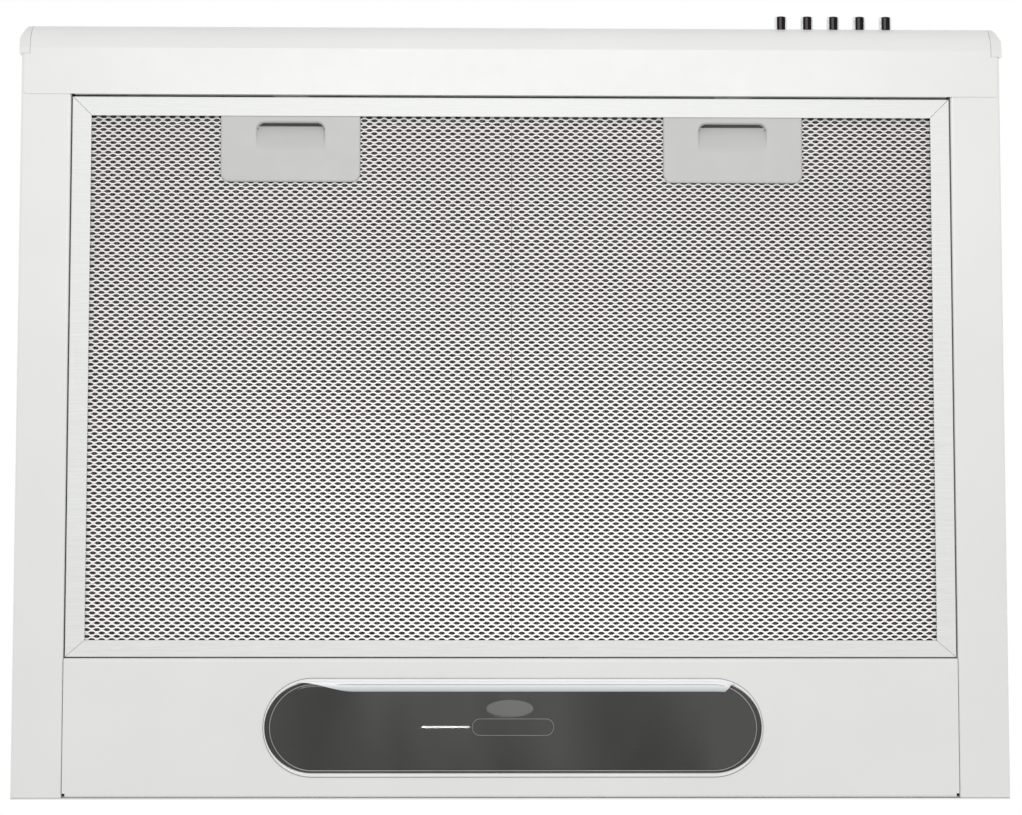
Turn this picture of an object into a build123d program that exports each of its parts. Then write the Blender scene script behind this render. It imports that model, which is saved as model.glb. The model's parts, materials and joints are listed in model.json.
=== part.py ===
from build123d import *
import os
from math import cos, pi, radians, sin, sqrt, tan

# Under-cabinet range hood, in millimetres.
# +X is to the right, +Y towards the wall, +Z up. The origin is the centre of the four
# cabinet screw holes, on the top face, and the duct collar stands on the same axis.

# ---------------------------------------------------------------- driving dimensions
WIDTH = 598.0  # over the side panels
HEIGHT = 130.0  # underside to top face
WALL_Y = 150.0  # rear face
NOSE_Y = -322.0  # front of the rounded fascia
SHEET = 0.8  # steel sheet
LAP = 0.85  # the fascia laps under the side flanges by one sheet
SLOPE = radians(30)  # slope of the front of the casing
BEND = 1.6  # outer radius of a folded edge

NOSE_FLAT_Y = -304.9  # where the fascia's flat underside ends and its round front begins
NOSE_HEIGHT = 40.0
CAP_REAR_Y = -301.3
CAP_INNER_X = 293.9
CAP_OUTER_X = 300.3

OPENING_HALF_X = 268.6  # filter opening
OPENING_FRONT_Y = -276.4
OPENING_REAR_Y = 65.9
LIP = 10.0  # up-turned lip around the opening

FILTER_HALF_X = 267.7
FILTER_FRONT_Y = -275.0
FILTER_REAR_Y = 65.3
FILTER_THICKNESS = 9.0
FRAME_FACE = 11.6  # width of the frame seen from below
REAR_FACE = 10.0  # the same at the rear
MITRE_GAP = 0.3  # between the frame's four channels at each corner
FRAME_SHEET = 0.8

LATCH_X = 135.0
LATCH_TRAVEL = 8.0

LENS_Y = 107.4
LENS_LENGTH = 301.2
LENS_WIDTH = 58.6
LENS_DROP = 3.5
LENS_WALL = 1.6

BUTTON_CENTRE_X = 199.0
BUTTON_PITCH = 16.2
BUTTON_TIP_Y = -329.3
BUTTON_RADIUS = 4.0
BUTTON_TRAVEL = 4.0

SCREW_SPACING_X = 460.0  # cabinet screws
SCREW_SPACING_Y = 200.0
SCREW_HOLE_RADIUS = 3.25

COLLAR_RADIUS = 59.5  # outside of the duct collar, for a 120 mm duct
COLLAR_HEIGHT = 35.0
DUCT_HOLE_RADIUS = 56.0
DAMPER_PIN_Z = 14.0

SHAFT_Z = -64.0  # fan shaft, along X through y = 0
SHAFT_RADIUS = 4.0
IMPELLER_RADIUS = 46.0
BLOWER_HALF_X = 110.0
BLOWER_HALF_Y = 58.0
BLOWER_BOTTOM = -116.0
BLOWER_SPLIT_Z = -62.0
BLOWER_WALL = 2.0

GROMMET_X = 245.0
GROMMET_Y = 112.0

# ---------------------------------------------------------------- worked-out places
HALF_WIDTH = WIDTH / 2
BOTTOM = -HEIGHT
PANEL_Z = BOTTOM + LAP  # underside of the side flanges and of the lamp panel
PANEL_TOP_Z = PANEL_Z + SHEET
SHELL_FRONT_Y = CAP_REAR_Y + 0.1
SHELL_HALF_X = HALF_WIDTH - SHEET
BUTTON_Z = BOTTOM + 17.0
FILTER_Z = PANEL_Z + 0.55  # underside of the filter
FILTER_TOP_Z = FILTER_Z + FILTER_THICKNESS
HINGE_Y = FILTER_REAR_Y - 2.5  # filter hinge line, along X at the filter's underside
BUTTONS_X = [BUTTON_CENTRE_X + (number - 2) * BUTTON_PITCH for number in range(5)]


def slope_z(y, lift=0.0):
    """Height of the sloping front panel's inner face at y, raised at right angles by lift."""
    return BOTTOM + NOSE_HEIGHT + (y - NOSE_FLAT_Y) * tan(SLOPE) + lift / cos(SLOPE)


SLOPE_TOP_Y = NOSE_FLAT_Y + (HEIGHT - NOSE_HEIGHT - SHEET / cos(SLOPE)) / tan(SLOPE)


# ---------------------------------------------------------------- helpers
def folded_along_x(points, half_length, side, radius=BEND, thickness=SHEET):
    """Folded sheet: outer face through (y, z) points, drawn out along X about the centre."""
    with BuildPart() as fold:
        with BuildSketch(Plane.YZ.offset(-half_length)):
            with BuildLine():
                FilletPolyline(*points, radius=radius)
                offset(amount=thickness, side=side)
            make_face()
        extrude(amount=2 * half_length)
    return fold.part


def block(low, high):
    """A plain block between its lowest and highest corners."""
    size = [top - bottom for bottom, top in zip(low, high)]
    centre = [(top + bottom) / 2 for bottom, top in zip(low, high)]
    with BuildPart() as solid:
        with Locations(tuple(centre)):
            Box(*size)
    return solid.part


def rod_along_x(x_low, x_high, radius, y=0.0, z=SHAFT_Z, bore=0.0):
    """A round bar or tube along X."""
    with BuildPart() as rod:
        with BuildSketch(Plane.YZ.offset(x_low)):
            with Locations((y, z)):
                Circle(radius)
                if bore:
                    Circle(bore, mode=Mode.SUBTRACT)
        extrude(amount=x_high - x_low)
    return rod.part


def coil_spring(start, coil_radius, wire_radius, length, turns):
    """A coil spring along +Y from its start point."""
    with BuildPart() as spring:
        with BuildLine() as line:
            Helix(length / turns, length, coil_radius, center=start, direction=(0, 1, 0))
        with BuildSketch(line.line ^ 0):
            Circle(wire_radius)
        sweep()
    return spring.part


def cable(points, radii, radius):
    """A round cable along straight runs joined by tangent arcs."""
    with BuildPart() as tube:
        with BuildLine() as route:
            FilletPolyline(*points, radius=radii)
        with BuildSketch(route.line ^ 0):
            Circle(radius)
        sweep()
    length = sum(edge.length for edge in route.edges())
    print("cable volume", round(tube.part.volume), "section x length", round(pi * radius**2 * length))
    return tube.part


def mirrored(part):
    """The same piece on the other side of the middle."""
    with BuildPart() as other:
        mirror(part, about=Plane.YZ)
    return other.part


def joined(*pieces):
    """Several solids as one node."""
    with BuildPart() as group:
        for piece in pieces:
            add(piece)
    return group.part


def save(part, name):
    """Label a finished piece and write it."""
    part.label = name
    export_step(part, f"parts/{name}.step")


os.makedirs("parts", exist_ok=True)

# ---------------------------------------------------------------- casing
# Back, top and sloping front are one folded sheet.
with BuildPart() as housing_shell:
    add(folded_along_x(
        [(WALL_Y, PANEL_Z), (WALL_Y, 0), (SLOPE_TOP_Y, 0), (SHELL_FRONT_Y, slope_z(SHELL_FRONT_Y, SHEET))],
        SHELL_HALF_X, Side.LEFT))
    with GridLocations(SCREW_SPACING_X, SCREW_SPACING_Y, 2, 2):
        Hole(SCREW_HOLE_RADIUS, depth=2)
    with Locations((0, 0, 0)):
        Hole(DUCT_HOLE_RADIUS, depth=2)
    with PolarLocations(65, 4, start_angle=45):
        Hole(1.7, depth=2)
    with Locations((GROMMET_X, GROMMET_Y, 0)):
        Hole(7.0, depth=2)
    with BuildSketch(Plane.XZ.offset(-WALL_Y)):
        with Locations((-200, -45), (200, -45)):
            Circle(5.5)
        with Locations((-200, -38), (200, -38)):
            SlotCenterToCenter(12, 5.4, rotation=90)
    extrude(amount=2, mode=Mode.SUBTRACT)
save(housing_shell.part, "housing_shell")

# Each side panel is a plate with a wide flange underneath, its lip, and a narrow top flange.
with BuildPart() as side_panel_right:
    with BuildSketch(Plane.YZ.offset(SHELL_HALF_X)):
        with BuildLine():
            Polyline((WALL_Y, PANEL_Z + BEND), (WALL_Y, 0), (SLOPE_TOP_Y, 0),
                     (SHELL_FRONT_Y, slope_z(SHELL_FRONT_Y, SHEET)), (SHELL_FRONT_Y, PANEL_Z + BEND),
                     close=True)
        make_face()
    extrude(amount=SHEET)
    with BuildSketch(Plane.XZ.offset(-SHELL_FRONT_Y)):
        with BuildLine():
            FilletPolyline((HALF_WIDTH, PANEL_Z + 20), (HALF_WIDTH, PANEL_Z), (OPENING_HALF_X, PANEL_Z),
                           (OPENING_HALF_X, PANEL_Z + LIP), radius=BEND)
            offset(amount=SHEET, side=Side.RIGHT)
        make_face()
    extrude(amount=-(WALL_Y - 1.0 - SHELL_FRONT_Y))
    add(block((SHELL_HALF_X - 12, -148, -2 * SHEET - 0.05), (SHELL_HALF_X + 0.1, 148, -SHEET - 0.05)))
save(side_panel_right.part, "side_panel_right")
save(mirrored(side_panel_right.part), "side_panel_left")

# ---------------------------------------------------------------- front fascia
# A round-nosed bar: flat underside with a rear lip, round front, and a return under the slope.
RETURN_LENGTH = 14.0
return_end = (NOSE_FLAT_Y + RETURN_LENGTH * cos(SLOPE), BOTTOM + NOSE_HEIGHT + RETURN_LENGTH * sin(SLOPE))
BUTTON_HOLE_RADIUS = 4.5
with BuildPart() as front_fascia:
    with BuildSketch(Plane.YZ.offset(-CAP_INNER_X + 0.2)):
        with BuildLine():
            Line((CAP_REAR_Y + 0.4, BOTTOM), (NOSE_FLAT_Y, BOTTOM))
            ThreePointArc((NOSE_FLAT_Y, BOTTOM), (NOSE_Y, BOTTOM + NOSE_HEIGHT / 2),
                          (NOSE_FLAT_Y, BOTTOM + NOSE_HEIGHT))
            Line((NOSE_FLAT_Y, BOTTOM + NOSE_HEIGHT), return_end)
            offset(amount=SHEET, side=Side.RIGHT)
        make_face()
    extrude(amount=2 * CAP_INNER_X - 0.4)
    with BuildSketch(Plane.XY.offset(BOTTOM)):
        with Locations((0, (CAP_REAR_Y + 0.1 + OPENING_FRONT_Y) / 2)):
            Rectangle(2 * 297.3, OPENING_FRONT_Y - CAP_REAR_Y - 0.1)
    extrude(amount=SHEET)
    fillet(front_fascia.edges().filter_by(Axis.Z).group_by(Axis.Y)[-1], 2.0)
    add(folded_along_x([(CAP_REAR_Y - 1.2, BOTTOM), (OPENING_FRONT_Y, BOTTOM), (OPENING_FRONT_Y, BOTTOM + 6)],
                       OPENING_HALF_X - 2, Side.LEFT, radius=1.2))
    with BuildSketch(Plane.XZ.offset(-NOSE_Y + 5)):
        with Locations(*[(x, BUTTON_Z) for x in BUTTONS_X]):
            Circle(BUTTON_HOLE_RADIUS)
    extrude(amount=-20, mode=Mode.SUBTRACT)
save(front_fascia.part, "front_fascia")

# The end caps close the bar, with a tongue that plugs into it.
corner_x = CAP_OUTER_X - 4.2  # the cap's outer front corner is cut off at a slant
corner_y = NOSE_Y + 10.5
with BuildPart() as end_cap_right:
    with BuildSketch(Plane.YZ.offset(CAP_INNER_X)):
        with BuildLine():
            Polyline((NOSE_FLAT_Y, BOTTOM + NOSE_HEIGHT), (CAP_REAR_Y, slope_z(CAP_REAR_Y)),
                     (CAP_REAR_Y, BOTTOM), (NOSE_FLAT_Y, BOTTOM))
            ThreePointArc((NOSE_FLAT_Y, BOTTOM), (NOSE_Y, BOTTOM + NOSE_HEIGHT / 2),
                          (NOSE_FLAT_Y, BOTTOM + NOSE_HEIGHT))
        make_face()
    extrude(amount=CAP_OUTER_X - CAP_INNER_X)
    with BuildSketch(Plane.XY.offset(BOTTOM - 1)):
        with BuildLine():
            Polyline((CAP_OUTER_X, corner_y), (CAP_OUTER_X, CAP_REAR_Y + 1),
                     (CAP_INNER_X - 1, CAP_REAR_Y + 1), (CAP_INNER_X - 1, NOSE_Y), (corner_x, NOSE_Y),
                     close=True)
        make_face()
    extrude(amount=NOSE_HEIGHT + 10, mode=Mode.INTERSECT)
    with BuildSketch(Plane.YZ.offset(CAP_INNER_X - 12)):
        with Locations((-308, BOTTOM + NOSE_HEIGHT / 2)):
            RectangleRounded(14, 28, 5)
            RectangleRounded(10, 24, 3, mode=Mode.SUBTRACT)
    extrude(amount=12.1)
save(end_cap_right.part, "end_cap_right")
save(mirrored(end_cap_right.part), "end_cap_left")

# ---------------------------------------------------------------- lamp panel, lens and lamps
CUTOUT_LENGTH = LENS_LENGTH - 6.5
CUTOUT_WIDTH = LENS_WIDTH - 6.6
with BuildPart() as lamp_panel:
    add(folded_along_x(
        [(OPENING_REAR_Y, PANEL_Z + LIP), (OPENING_REAR_Y, PANEL_Z), (WALL_Y - 1, PANEL_Z),
         (WALL_Y - 1, PANEL_Z + LIP)], OPENING_HALF_X - 0.3, Side.LEFT, radius=2.2))
    with BuildSketch(Plane.XY.offset(PANEL_Z - 1)):
        with Locations((0, LENS_Y)):
            SlotOverall(CUTOUT_LENGTH, CUTOUT_WIDTH)
        with Locations((-OPENING_HALF_X, WALL_Y - 2), (OPENING_HALF_X, WALL_Y - 2)):
            Rectangle(4, 3)
    extrude(amount=4, mode=Mode.SUBTRACT)
save(lamp_panel.part, "lamp_panel")

CLIP_LENGTH = 10.0
with BuildPart() as lamp_lens:
    with BuildSketch(Plane.XY.offset(PANEL_Z - LENS_DROP)):
        with Locations((0, LENS_Y)):
            SlotOverall(LENS_LENGTH, LENS_WIDTH)
    extrude(amount=LENS_DROP)
    fillet(lamp_lens.faces().sort_by(Axis.Z)[0].edges(), 2.4)
    with BuildSketch(Plane.XY.offset(PANEL_Z - LENS_DROP + LENS_WALL)):
        with Locations((0, LENS_Y)):
            SlotOverall(LENS_LENGTH - 4 * LENS_WALL, LENS_WIDTH - 4 * LENS_WALL)
    extrude(amount=LENS_DROP, mode=Mode.SUBTRACT)
    with BuildSketch(Plane.XY.offset(PANEL_Z - LENS_DROP + LENS_WALL - 0.1)):
        for edge_y in (-CUTOUT_WIDTH / 2 + 1.1, CUTOUT_WIDTH / 2 - 1.1):
            with Locations(*[(x, LENS_Y + edge_y) for x in (-98, 0, 98)]):
                Rectangle(CLIP_LENGTH, 1.4)
    extrude(amount=9)
save(lamp_lens.part, "lamp_lens")

LAMP_BOX_HALF_X = 151.0
LAMP_BOX_FRONT_Y = 73.0
LAMP_BOX_REAR_Y = 142.0
LAMP_BOX_Z = PANEL_TOP_Z + 0.05
LAMP_BOX_HEIGHT = 44.0
LAMP_BOX_WALL = 0.6
LAMP_Z = LAMP_BOX_Z + 22.0
LAMP_CABLE_X = 110.0
with BuildPart() as lamp_box:
    add(block((-LAMP_BOX_HALF_X, LAMP_BOX_FRONT_Y, LAMP_BOX_Z),
              (LAMP_BOX_HALF_X, LAMP_BOX_REAR_Y, LAMP_BOX_Z + LAMP_BOX_HEIGHT)))
    add(block((-LAMP_BOX_HALF_X - 12, 85, LAMP_BOX_Z),
              (LAMP_BOX_HALF_X + 12, 130, LAMP_BOX_Z + LAMP_BOX_WALL)))
    add(block((-LAMP_BOX_HALF_X + LAMP_BOX_WALL, LAMP_BOX_FRONT_Y + LAMP_BOX_WALL, LAMP_BOX_Z - 1),
              (LAMP_BOX_HALF_X - LAMP_BOX_WALL, LAMP_BOX_REAR_Y - LAMP_BOX_WALL,
               LAMP_BOX_Z + LAMP_BOX_HEIGHT - LAMP_BOX_WALL)), mode=Mode.SUBTRACT)
    with Locations((LAMP_CABLE_X, LENS_Y, LAMP_BOX_Z + LAMP_BOX_HEIGHT)):
        Hole(3.3, depth=2)
save(lamp_box.part, "lamp_box")

HOLDER_LENGTH = 38.0
HOLDER_RADIUS = 12.5
SOCKET_RADIUS = 7.3
holder_outer_x = LAMP_BOX_HALF_X - LAMP_BOX_WALL - 0.1
with BuildPart() as lamp_holder_right:
    add(rod_along_x(holder_outer_x - HOLDER_LENGTH, holder_outer_x, HOLDER_RADIUS, y=LENS_Y, z=LAMP_Z))
    add(rod_along_x(holder_outer_x - HOLDER_LENGTH - 1, holder_outer_x - 4, SOCKET_RADIUS,
                    y=LENS_Y, z=LAMP_Z), mode=Mode.SUBTRACT)
    add(block((holder_outer_x - 2, LENS_Y - 17, LAMP_Z - 15), (holder_outer_x, LENS_Y + 17, LAMP_Z + 15)))
save(lamp_holder_right.part, "lamp_holder_right")
save(mirrored(lamp_holder_right.part), "lamp_holder_left")

# A tubular hood lamp: screw cap in the holder, shoulder, straight glass and round end, turned about X.
BULB_RADIUS = 12.5
BULB_CAP_RADIUS = 6.9
BULB_STRAIGHT = 68.0
shoulder_x = holder_outer_x - HOLDER_LENGTH - 1
glass_start_x = shoulder_x - 10
glass_end_x = glass_start_x - BULB_STRAIGHT
with BuildPart() as lamp_bulb_right:
    with BuildSketch(Plane.XY.offset(LAMP_Z)):
        with BuildLine():
            Polyline((shoulder_x + 26, LENS_Y), (shoulder_x + 26, LENS_Y + 4),
                     (shoulder_x + 23, LENS_Y + BULB_CAP_RADIUS), (shoulder_x, LENS_Y + BULB_CAP_RADIUS))
            Spline((shoulder_x, LENS_Y + BULB_CAP_RADIUS), (glass_start_x, LENS_Y + BULB_RADIUS),
                   tangents=[(-0.3, 1), (-1, 0)])
            Line((glass_start_x, LENS_Y + BULB_RADIUS), (glass_end_x, LENS_Y + BULB_RADIUS))
            CenterArc((glass_end_x, LENS_Y), BULB_RADIUS, start_angle=90, arc_size=90)
            Line((glass_end_x - BULB_RADIUS, LENS_Y), (shoulder_x + 26, LENS_Y))
        make_face()
    revolve(axis=Axis((0, LENS_Y, LAMP_Z), (1, 0, 0)))
save(lamp_bulb_right.part, "lamp_bulb_right")
save(mirrored(lamp_bulb_right.part), "lamp_bulb_left")

# ---------------------------------------------------------------- grease filter
# Four mitred channels hold two outer meshes and a knitted core.
FRAME_WEB = 1.0
TONGUE_HALF_X = 11.0
TONGUE_Z = BOTTOM + 6.4
TONGUE_THICKNESS = 2.0


def frame_channel(corners, slot_low, slot_high):
    """A mitred channel: its plan outline, hollowed between the slot's corners."""
    with BuildPart() as channel:
        with BuildSketch(Plane.XY.offset(FILTER_Z)):
            with BuildLine():
                Polyline(*corners, close=True)
            make_face()
        extrude(amount=FILTER_THICKNESS)
        add(block((*slot_low, FILTER_Z + FRAME_SHEET), (*slot_high, FILTER_TOP_Z - FRAME_SHEET)),
            mode=Mode.SUBTRACT)
    return channel.part


def long_channel(outer_y, inward):
    """A channel along X, with its web at outer_y."""
    inner_y = outer_y + inward * (FRAME_FACE if inward > 0 else REAR_FACE)
    slot = sorted((outer_y + inward * FRAME_WEB, inner_y + inward))
    outer_x = FILTER_HALF_X - MITRE_GAP
    inner_x = FILTER_HALF_X - FRAME_FACE - MITRE_GAP
    return frame_channel(
        [(-outer_x, outer_y), (outer_x, outer_y), (inner_x, inner_y), (-inner_x, inner_y)],
        (-FILTER_HALF_X + FRAME_WEB, slot[0]), (FILTER_HALF_X - FRAME_WEB, slot[1]))


def filter_frame_side():
    """The right-hand channel, along Y."""
    inner_x = FILTER_HALF_X - FRAME_FACE
    return frame_channel(
        [(FILTER_HALF_X, FILTER_FRONT_Y), (FILTER_HALF_X, FILTER_REAR_Y),
         (inner_x, FILTER_REAR_Y - REAR_FACE), (inner_x, FILTER_FRONT_Y + FRAME_FACE)],
        (inner_x - 1, FILTER_FRONT_Y + FRAME_WEB), (FILTER_HALF_X - FRAME_WEB, FILTER_REAR_Y - FRAME_WEB))


with BuildPart() as filter_frame_front:
    add(long_channel(FILTER_FRONT_Y, 1))
    fillet(filter_frame_front.edges().filter_by(Axis.X).group_by(Axis.Y)[0], 0.7)
    for side in (-1, 1):
        add(block((side * LATCH_X - TONGUE_HALF_X - 1, FILTER_FRONT_Y - 1, TONGUE_Z - 0.4),
                  (side * LATCH_X + TONGUE_HALF_X + 1, FILTER_FRONT_Y + 2,
                   TONGUE_Z + TONGUE_THICKNESS + 0.4)),
            mode=Mode.SUBTRACT)
save(filter_frame_front.part, "filter_frame_front")

with BuildPart() as filter_frame_rear:
    add(long_channel(FILTER_REAR_Y, -1))
    fillet(filter_frame_rear.edges().filter_by(Axis.X).group_by(Axis.Y)[-1], 0.7)
save(filter_frame_rear.part, "filter_frame_rear")

with BuildPart() as filter_frame_right:
    add(filter_frame_side())
    fillet(filter_frame_right.edges().filter_by(Axis.Y).group_by(Axis.X)[-1], 0.7)
save(filter_frame_right.part, "filter_frame_right")
save(mirrored(filter_frame_right.part), "filter_frame_left")

# Two hooks on the rear channel hang over the lip of the lamp panel.
HOOK_Z = PANEL_Z + LIP + 0.5
with BuildPart() as filter_hooks:
    for hook_x in (-180, 180):
        add(block((hook_x - 12, FILTER_REAR_Y - 9, FILTER_TOP_Z + 0.02),
                  (hook_x + 12, FILTER_REAR_Y, HOOK_Z + 1)))
        add(block((hook_x - 12, FILTER_REAR_Y - 9, HOOK_Z),
                  (hook_x + 12, OPENING_REAR_Y + 5, HOOK_Z + 1)))
save(filter_hooks.part, "filter_hooks")

MESH_HALF_X = FILTER_HALF_X - FRAME_WEB - 0.5
MESH_FRONT_Y = FILTER_FRONT_Y + FRAME_WEB + 0.5
MESH_REAR_Y = FILTER_REAR_Y - FRAME_WEB - 0.5
GUIDE_HALF_X = 46.0
GUIDE_REAR_Y = -212.0


# The latch plates lie above the frame's lower leg and slide under the outer mesh.
PLATE_HALF_X = 42.5
PLATE_REAR_Y = -223.1
PLATE_FRONT_Y = FILTER_FRONT_Y + FRAME_FACE - 3.0
PLATE_Z = FILTER_Z + FRAME_SHEET + 0.25
PLATE_THICKNESS = 1.2
PLATE_CORNER = 5.0
RECESS_HALF_X = 21.1
RECESS_FRONT_Y = -260.1
RECESS_REAR_Y = -241.5
RECESS_TOP_Z = FILTER_TOP_Z - 1.4
RECESS_CORNER = 5.0
CUP_WALL = 1.2
CUP_ROOM_X = RECESS_HALF_X + CUP_WALL + 0.5
CUP_ROOM_Y = (RECESS_FRONT_Y - CUP_WALL - 0.5, RECESS_REAR_Y + CUP_WALL + LATCH_TRAVEL + 0.7)


def filter_layer(z_low, z_high, room_x, room_y):
    """One layer of the filter, with a window for each of the two latches."""
    with BuildPart() as layer:
        add(block((-MESH_HALF_X, MESH_FRONT_Y, z_low), (MESH_HALF_X, MESH_REAR_Y, z_high)))
        for side in (-1, 1):
            add(block((side * LATCH_X - room_x, room_y[0], z_low - 1),
                      (side * LATCH_X + room_x, room_y[1], z_high + 1)), mode=Mode.SUBTRACT)
    return layer.part


MESH_THICKNESS = 1.0
outer_low = PLATE_Z + PLATE_THICKNESS + 0.25
core_low = outer_low + MESH_THICKNESS + 0.05
inner_high = FILTER_TOP_Z - FRAME_SHEET - 0.05
guide_room = (GUIDE_HALF_X + 0.4, (MESH_FRONT_Y - 1, GUIDE_REAR_Y + 0.4))
save(filter_layer(outer_low, outer_low + MESH_THICKNESS, CUP_ROOM_X, CUP_ROOM_Y), "filter_mesh_outer")
save(filter_layer(core_low, inner_high - MESH_THICKNESS - 0.05, *guide_room), "filter_core")
save(filter_layer(inner_high - MESH_THICKNESS, inner_high, *guide_room), "filter_mesh_inner")

# ---------------------------------------------------------------- filter latches
TONGUE_TIP_Y = OPENING_FRONT_Y - 4.0


def finger_recess(centre_x):
    """The hollow of the finger pull: a wedge, deep at the front, with round front corners."""
    with BuildPart() as recess:
        with BuildSketch(Plane.YZ.offset(centre_x - RECESS_HALF_X)):
            with BuildLine():
                Polyline((RECESS_FRONT_Y, PLATE_Z - 1), (RECESS_FRONT_Y, RECESS_TOP_Z),
                         (RECESS_FRONT_Y + 8, RECESS_TOP_Z), (RECESS_REAR_Y, PLATE_Z + 0.4),
                         (RECESS_REAR_Y, PLATE_Z - 1), close=True)
            make_face()
        extrude(amount=2 * RECESS_HALF_X)
        fillet(recess.edges().filter_by(Axis.Z).group_by(Axis.Y)[0], RECESS_CORNER)
    return recess.part


def latch_handle(centre_x):
    """Sliding plate with a finger recess in a cup, and a tongue."""
    with BuildPart() as handle:
        with BuildSketch(Plane.XY.offset(PLATE_Z)):
            with Locations((centre_x, (PLATE_FRONT_Y + PLATE_REAR_Y) / 2)):
                Rectangle(2 * PLATE_HALF_X, PLATE_REAR_Y - PLATE_FRONT_Y)
        extrude(amount=PLATE_THICKNESS)
        fillet(handle.edges().filter_by(Axis.Z).group_by(Axis.Y)[-1], PLATE_CORNER)
        fillet(handle.faces().sort_by(Axis.Z)[0].edges().group_by(Axis.Y)[1:], 0.5)
        add(block((centre_x - RECESS_HALF_X - CUP_WALL, RECESS_FRONT_Y - CUP_WALL, PLATE_Z + 0.6),
                  (centre_x + RECESS_HALF_X + CUP_WALL, RECESS_REAR_Y + CUP_WALL, RECESS_TOP_Z + CUP_WALL)))
        add(block((centre_x - TONGUE_HALF_X, TONGUE_TIP_Y, TONGUE_Z),
                  (centre_x + TONGUE_HALF_X, RECESS_FRONT_Y, TONGUE_Z + TONGUE_THICKNESS)))
        add(finger_recess(centre_x), mode=Mode.SUBTRACT)
    return handle.part


def latch_guide(centre_x):
    """Fixed frame around the recess cup, with a slot for the tongue and a spring pocket."""
    with BuildPart() as guide:
        add(block((centre_x - GUIDE_HALF_X, MESH_FRONT_Y, core_low),
                  (centre_x + GUIDE_HALF_X, GUIDE_REAR_Y, inner_high)))
        add(block((centre_x - CUP_ROOM_X, CUP_ROOM_Y[0], core_low - 1),
                  (centre_x + CUP_ROOM_X, CUP_ROOM_Y[1], inner_high + 1)), mode=Mode.SUBTRACT)
        add(block((centre_x - TONGUE_HALF_X - 0.5, MESH_FRONT_Y - 1, TONGUE_Z - 0.4),
                  (centre_x + TONGUE_HALF_X + 0.5, RECESS_FRONT_Y, TONGUE_Z + TONGUE_THICKNESS + 0.4)),
            mode=Mode.SUBTRACT)
        add(block((centre_x - 3, RECESS_REAR_Y, core_low - 1), (centre_x + 3, SPRING_REAR_Y, inner_high + 1)),
            mode=Mode.SUBTRACT)
    return guide.part


SPRING_REAR_Y = GUIDE_REAR_Y - 3.0
SPRING_Z = (core_low + inner_high) / 2
for name, centre_x in (("left", -LATCH_X), ("right", LATCH_X)):
    save(latch_handle(centre_x), f"latch_handle_{name}")
save(joined(latch_guide(-LATCH_X), latch_guide(LATCH_X)), "latch_guides")
spring_start_y = RECESS_REAR_Y + CUP_WALL + 0.6
save(joined(*[coil_spring((x, spring_start_y, SPRING_Z), 1.8, 0.3, SPRING_REAR_Y - 0.6 - spring_start_y, 9)
              for x in (-LATCH_X, LATCH_X)]), "latch_springs")

# ---------------------------------------------------------------- blower housing
BLOWER_TOP = -SHEET - 0.1
OUTLET_RADIUS = 55.0
INLET_RADIUS = 36.0
EAR_THICKNESS = 2.5
EAR_PLACES = [(x, y) for x in (-BLOWER_HALF_X - 8, BLOWER_HALF_X + 8) for y in (-40, 40)]
FLANGE_PLACES = [(x, y) for x in (-90, 90) for y in (-BLOWER_HALF_Y - 3.5, BLOWER_HALF_Y + 3.5)]
MOTOR_CABLE_X = 22.0
MOTOR_CABLE_Z = -30.0


def blower_section(inset):
    """Side profile of the blower: round below the shaft and upright above it."""
    half_y = BLOWER_HALF_Y - inset
    with BuildSketch() as section:
        with BuildLine():
            Polyline((-half_y, BLOWER_SPLIT_Z), (-half_y, BLOWER_TOP - inset), (half_y, BLOWER_TOP - inset),
                     (half_y, BLOWER_SPLIT_Z))
            ThreePointArc((half_y, BLOWER_SPLIT_Z), (0, BLOWER_BOTTOM + inset), (-half_y, BLOWER_SPLIT_Z))
        make_face()
    return section.sketch


with BuildPart() as blower_case:
    with BuildSketch(Plane.YZ.offset(-BLOWER_HALF_X)):
        add(blower_section(0))
    extrude(amount=2 * BLOWER_HALF_X)
    # Joint flanges at the split, and fixing ears at the top.
    add(block((-BLOWER_HALF_X, -BLOWER_HALF_Y - 7, BLOWER_SPLIT_Z - 2),
              (BLOWER_HALF_X, BLOWER_HALF_Y + 7, BLOWER_SPLIT_Z + 2)))
    for side in (-1, 1):
        add(block((side * (BLOWER_HALF_X + 6) - 8, -50, BLOWER_TOP - EAR_THICKNESS),
                  (side * (BLOWER_HALF_X + 6) + 8, 50, BLOWER_TOP)))
    with BuildSketch(Plane.YZ.offset(-BLOWER_HALF_X + BLOWER_WALL)):
        add(blower_section(BLOWER_WALL))
    extrude(amount=2 * (BLOWER_HALF_X - BLOWER_WALL), mode=Mode.SUBTRACT)
    # Cut-off lip beside the impellers.
    with BuildSketch(Plane.YZ.offset(-BLOWER_HALF_X + 1)):
        with BuildLine():
            Polyline((-BLOWER_HALF_Y + 1, -30), (-BLOWER_HALF_Y + 1, -61), (-48.5, -56), close=True)
        make_face()
    extrude(amount=2 * BLOWER_HALF_X - 2)
    with Locations((0, 0, BLOWER_TOP)):
        Hole(OUTLET_RADIUS, depth=BLOWER_WALL + 1)
    with BuildSketch(Plane.YZ.offset(-BLOWER_HALF_X - 1)):
        with Locations((0, SHAFT_Z)):
            Circle(INLET_RADIUS)
    extrude(amount=2 * BLOWER_HALF_X + 2, mode=Mode.SUBTRACT)
    with Locations(*[(x, y, BLOWER_TOP) for x, y in EAR_PLACES]):
        Hole(2.1, depth=4)
    with Locations(*[(x, y, BLOWER_SPLIT_Z + 2) for x, y in FLANGE_PLACES]):
        Hole(1.6, depth=4)
    with BuildSketch(Plane.XZ.offset(-BLOWER_HALF_Y - 1)):
        with Locations((MOTOR_CABLE_X, MOTOR_CABLE_Z)):
            Circle(3.4)
    extrude(amount=5, mode=Mode.SUBTRACT)

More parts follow.
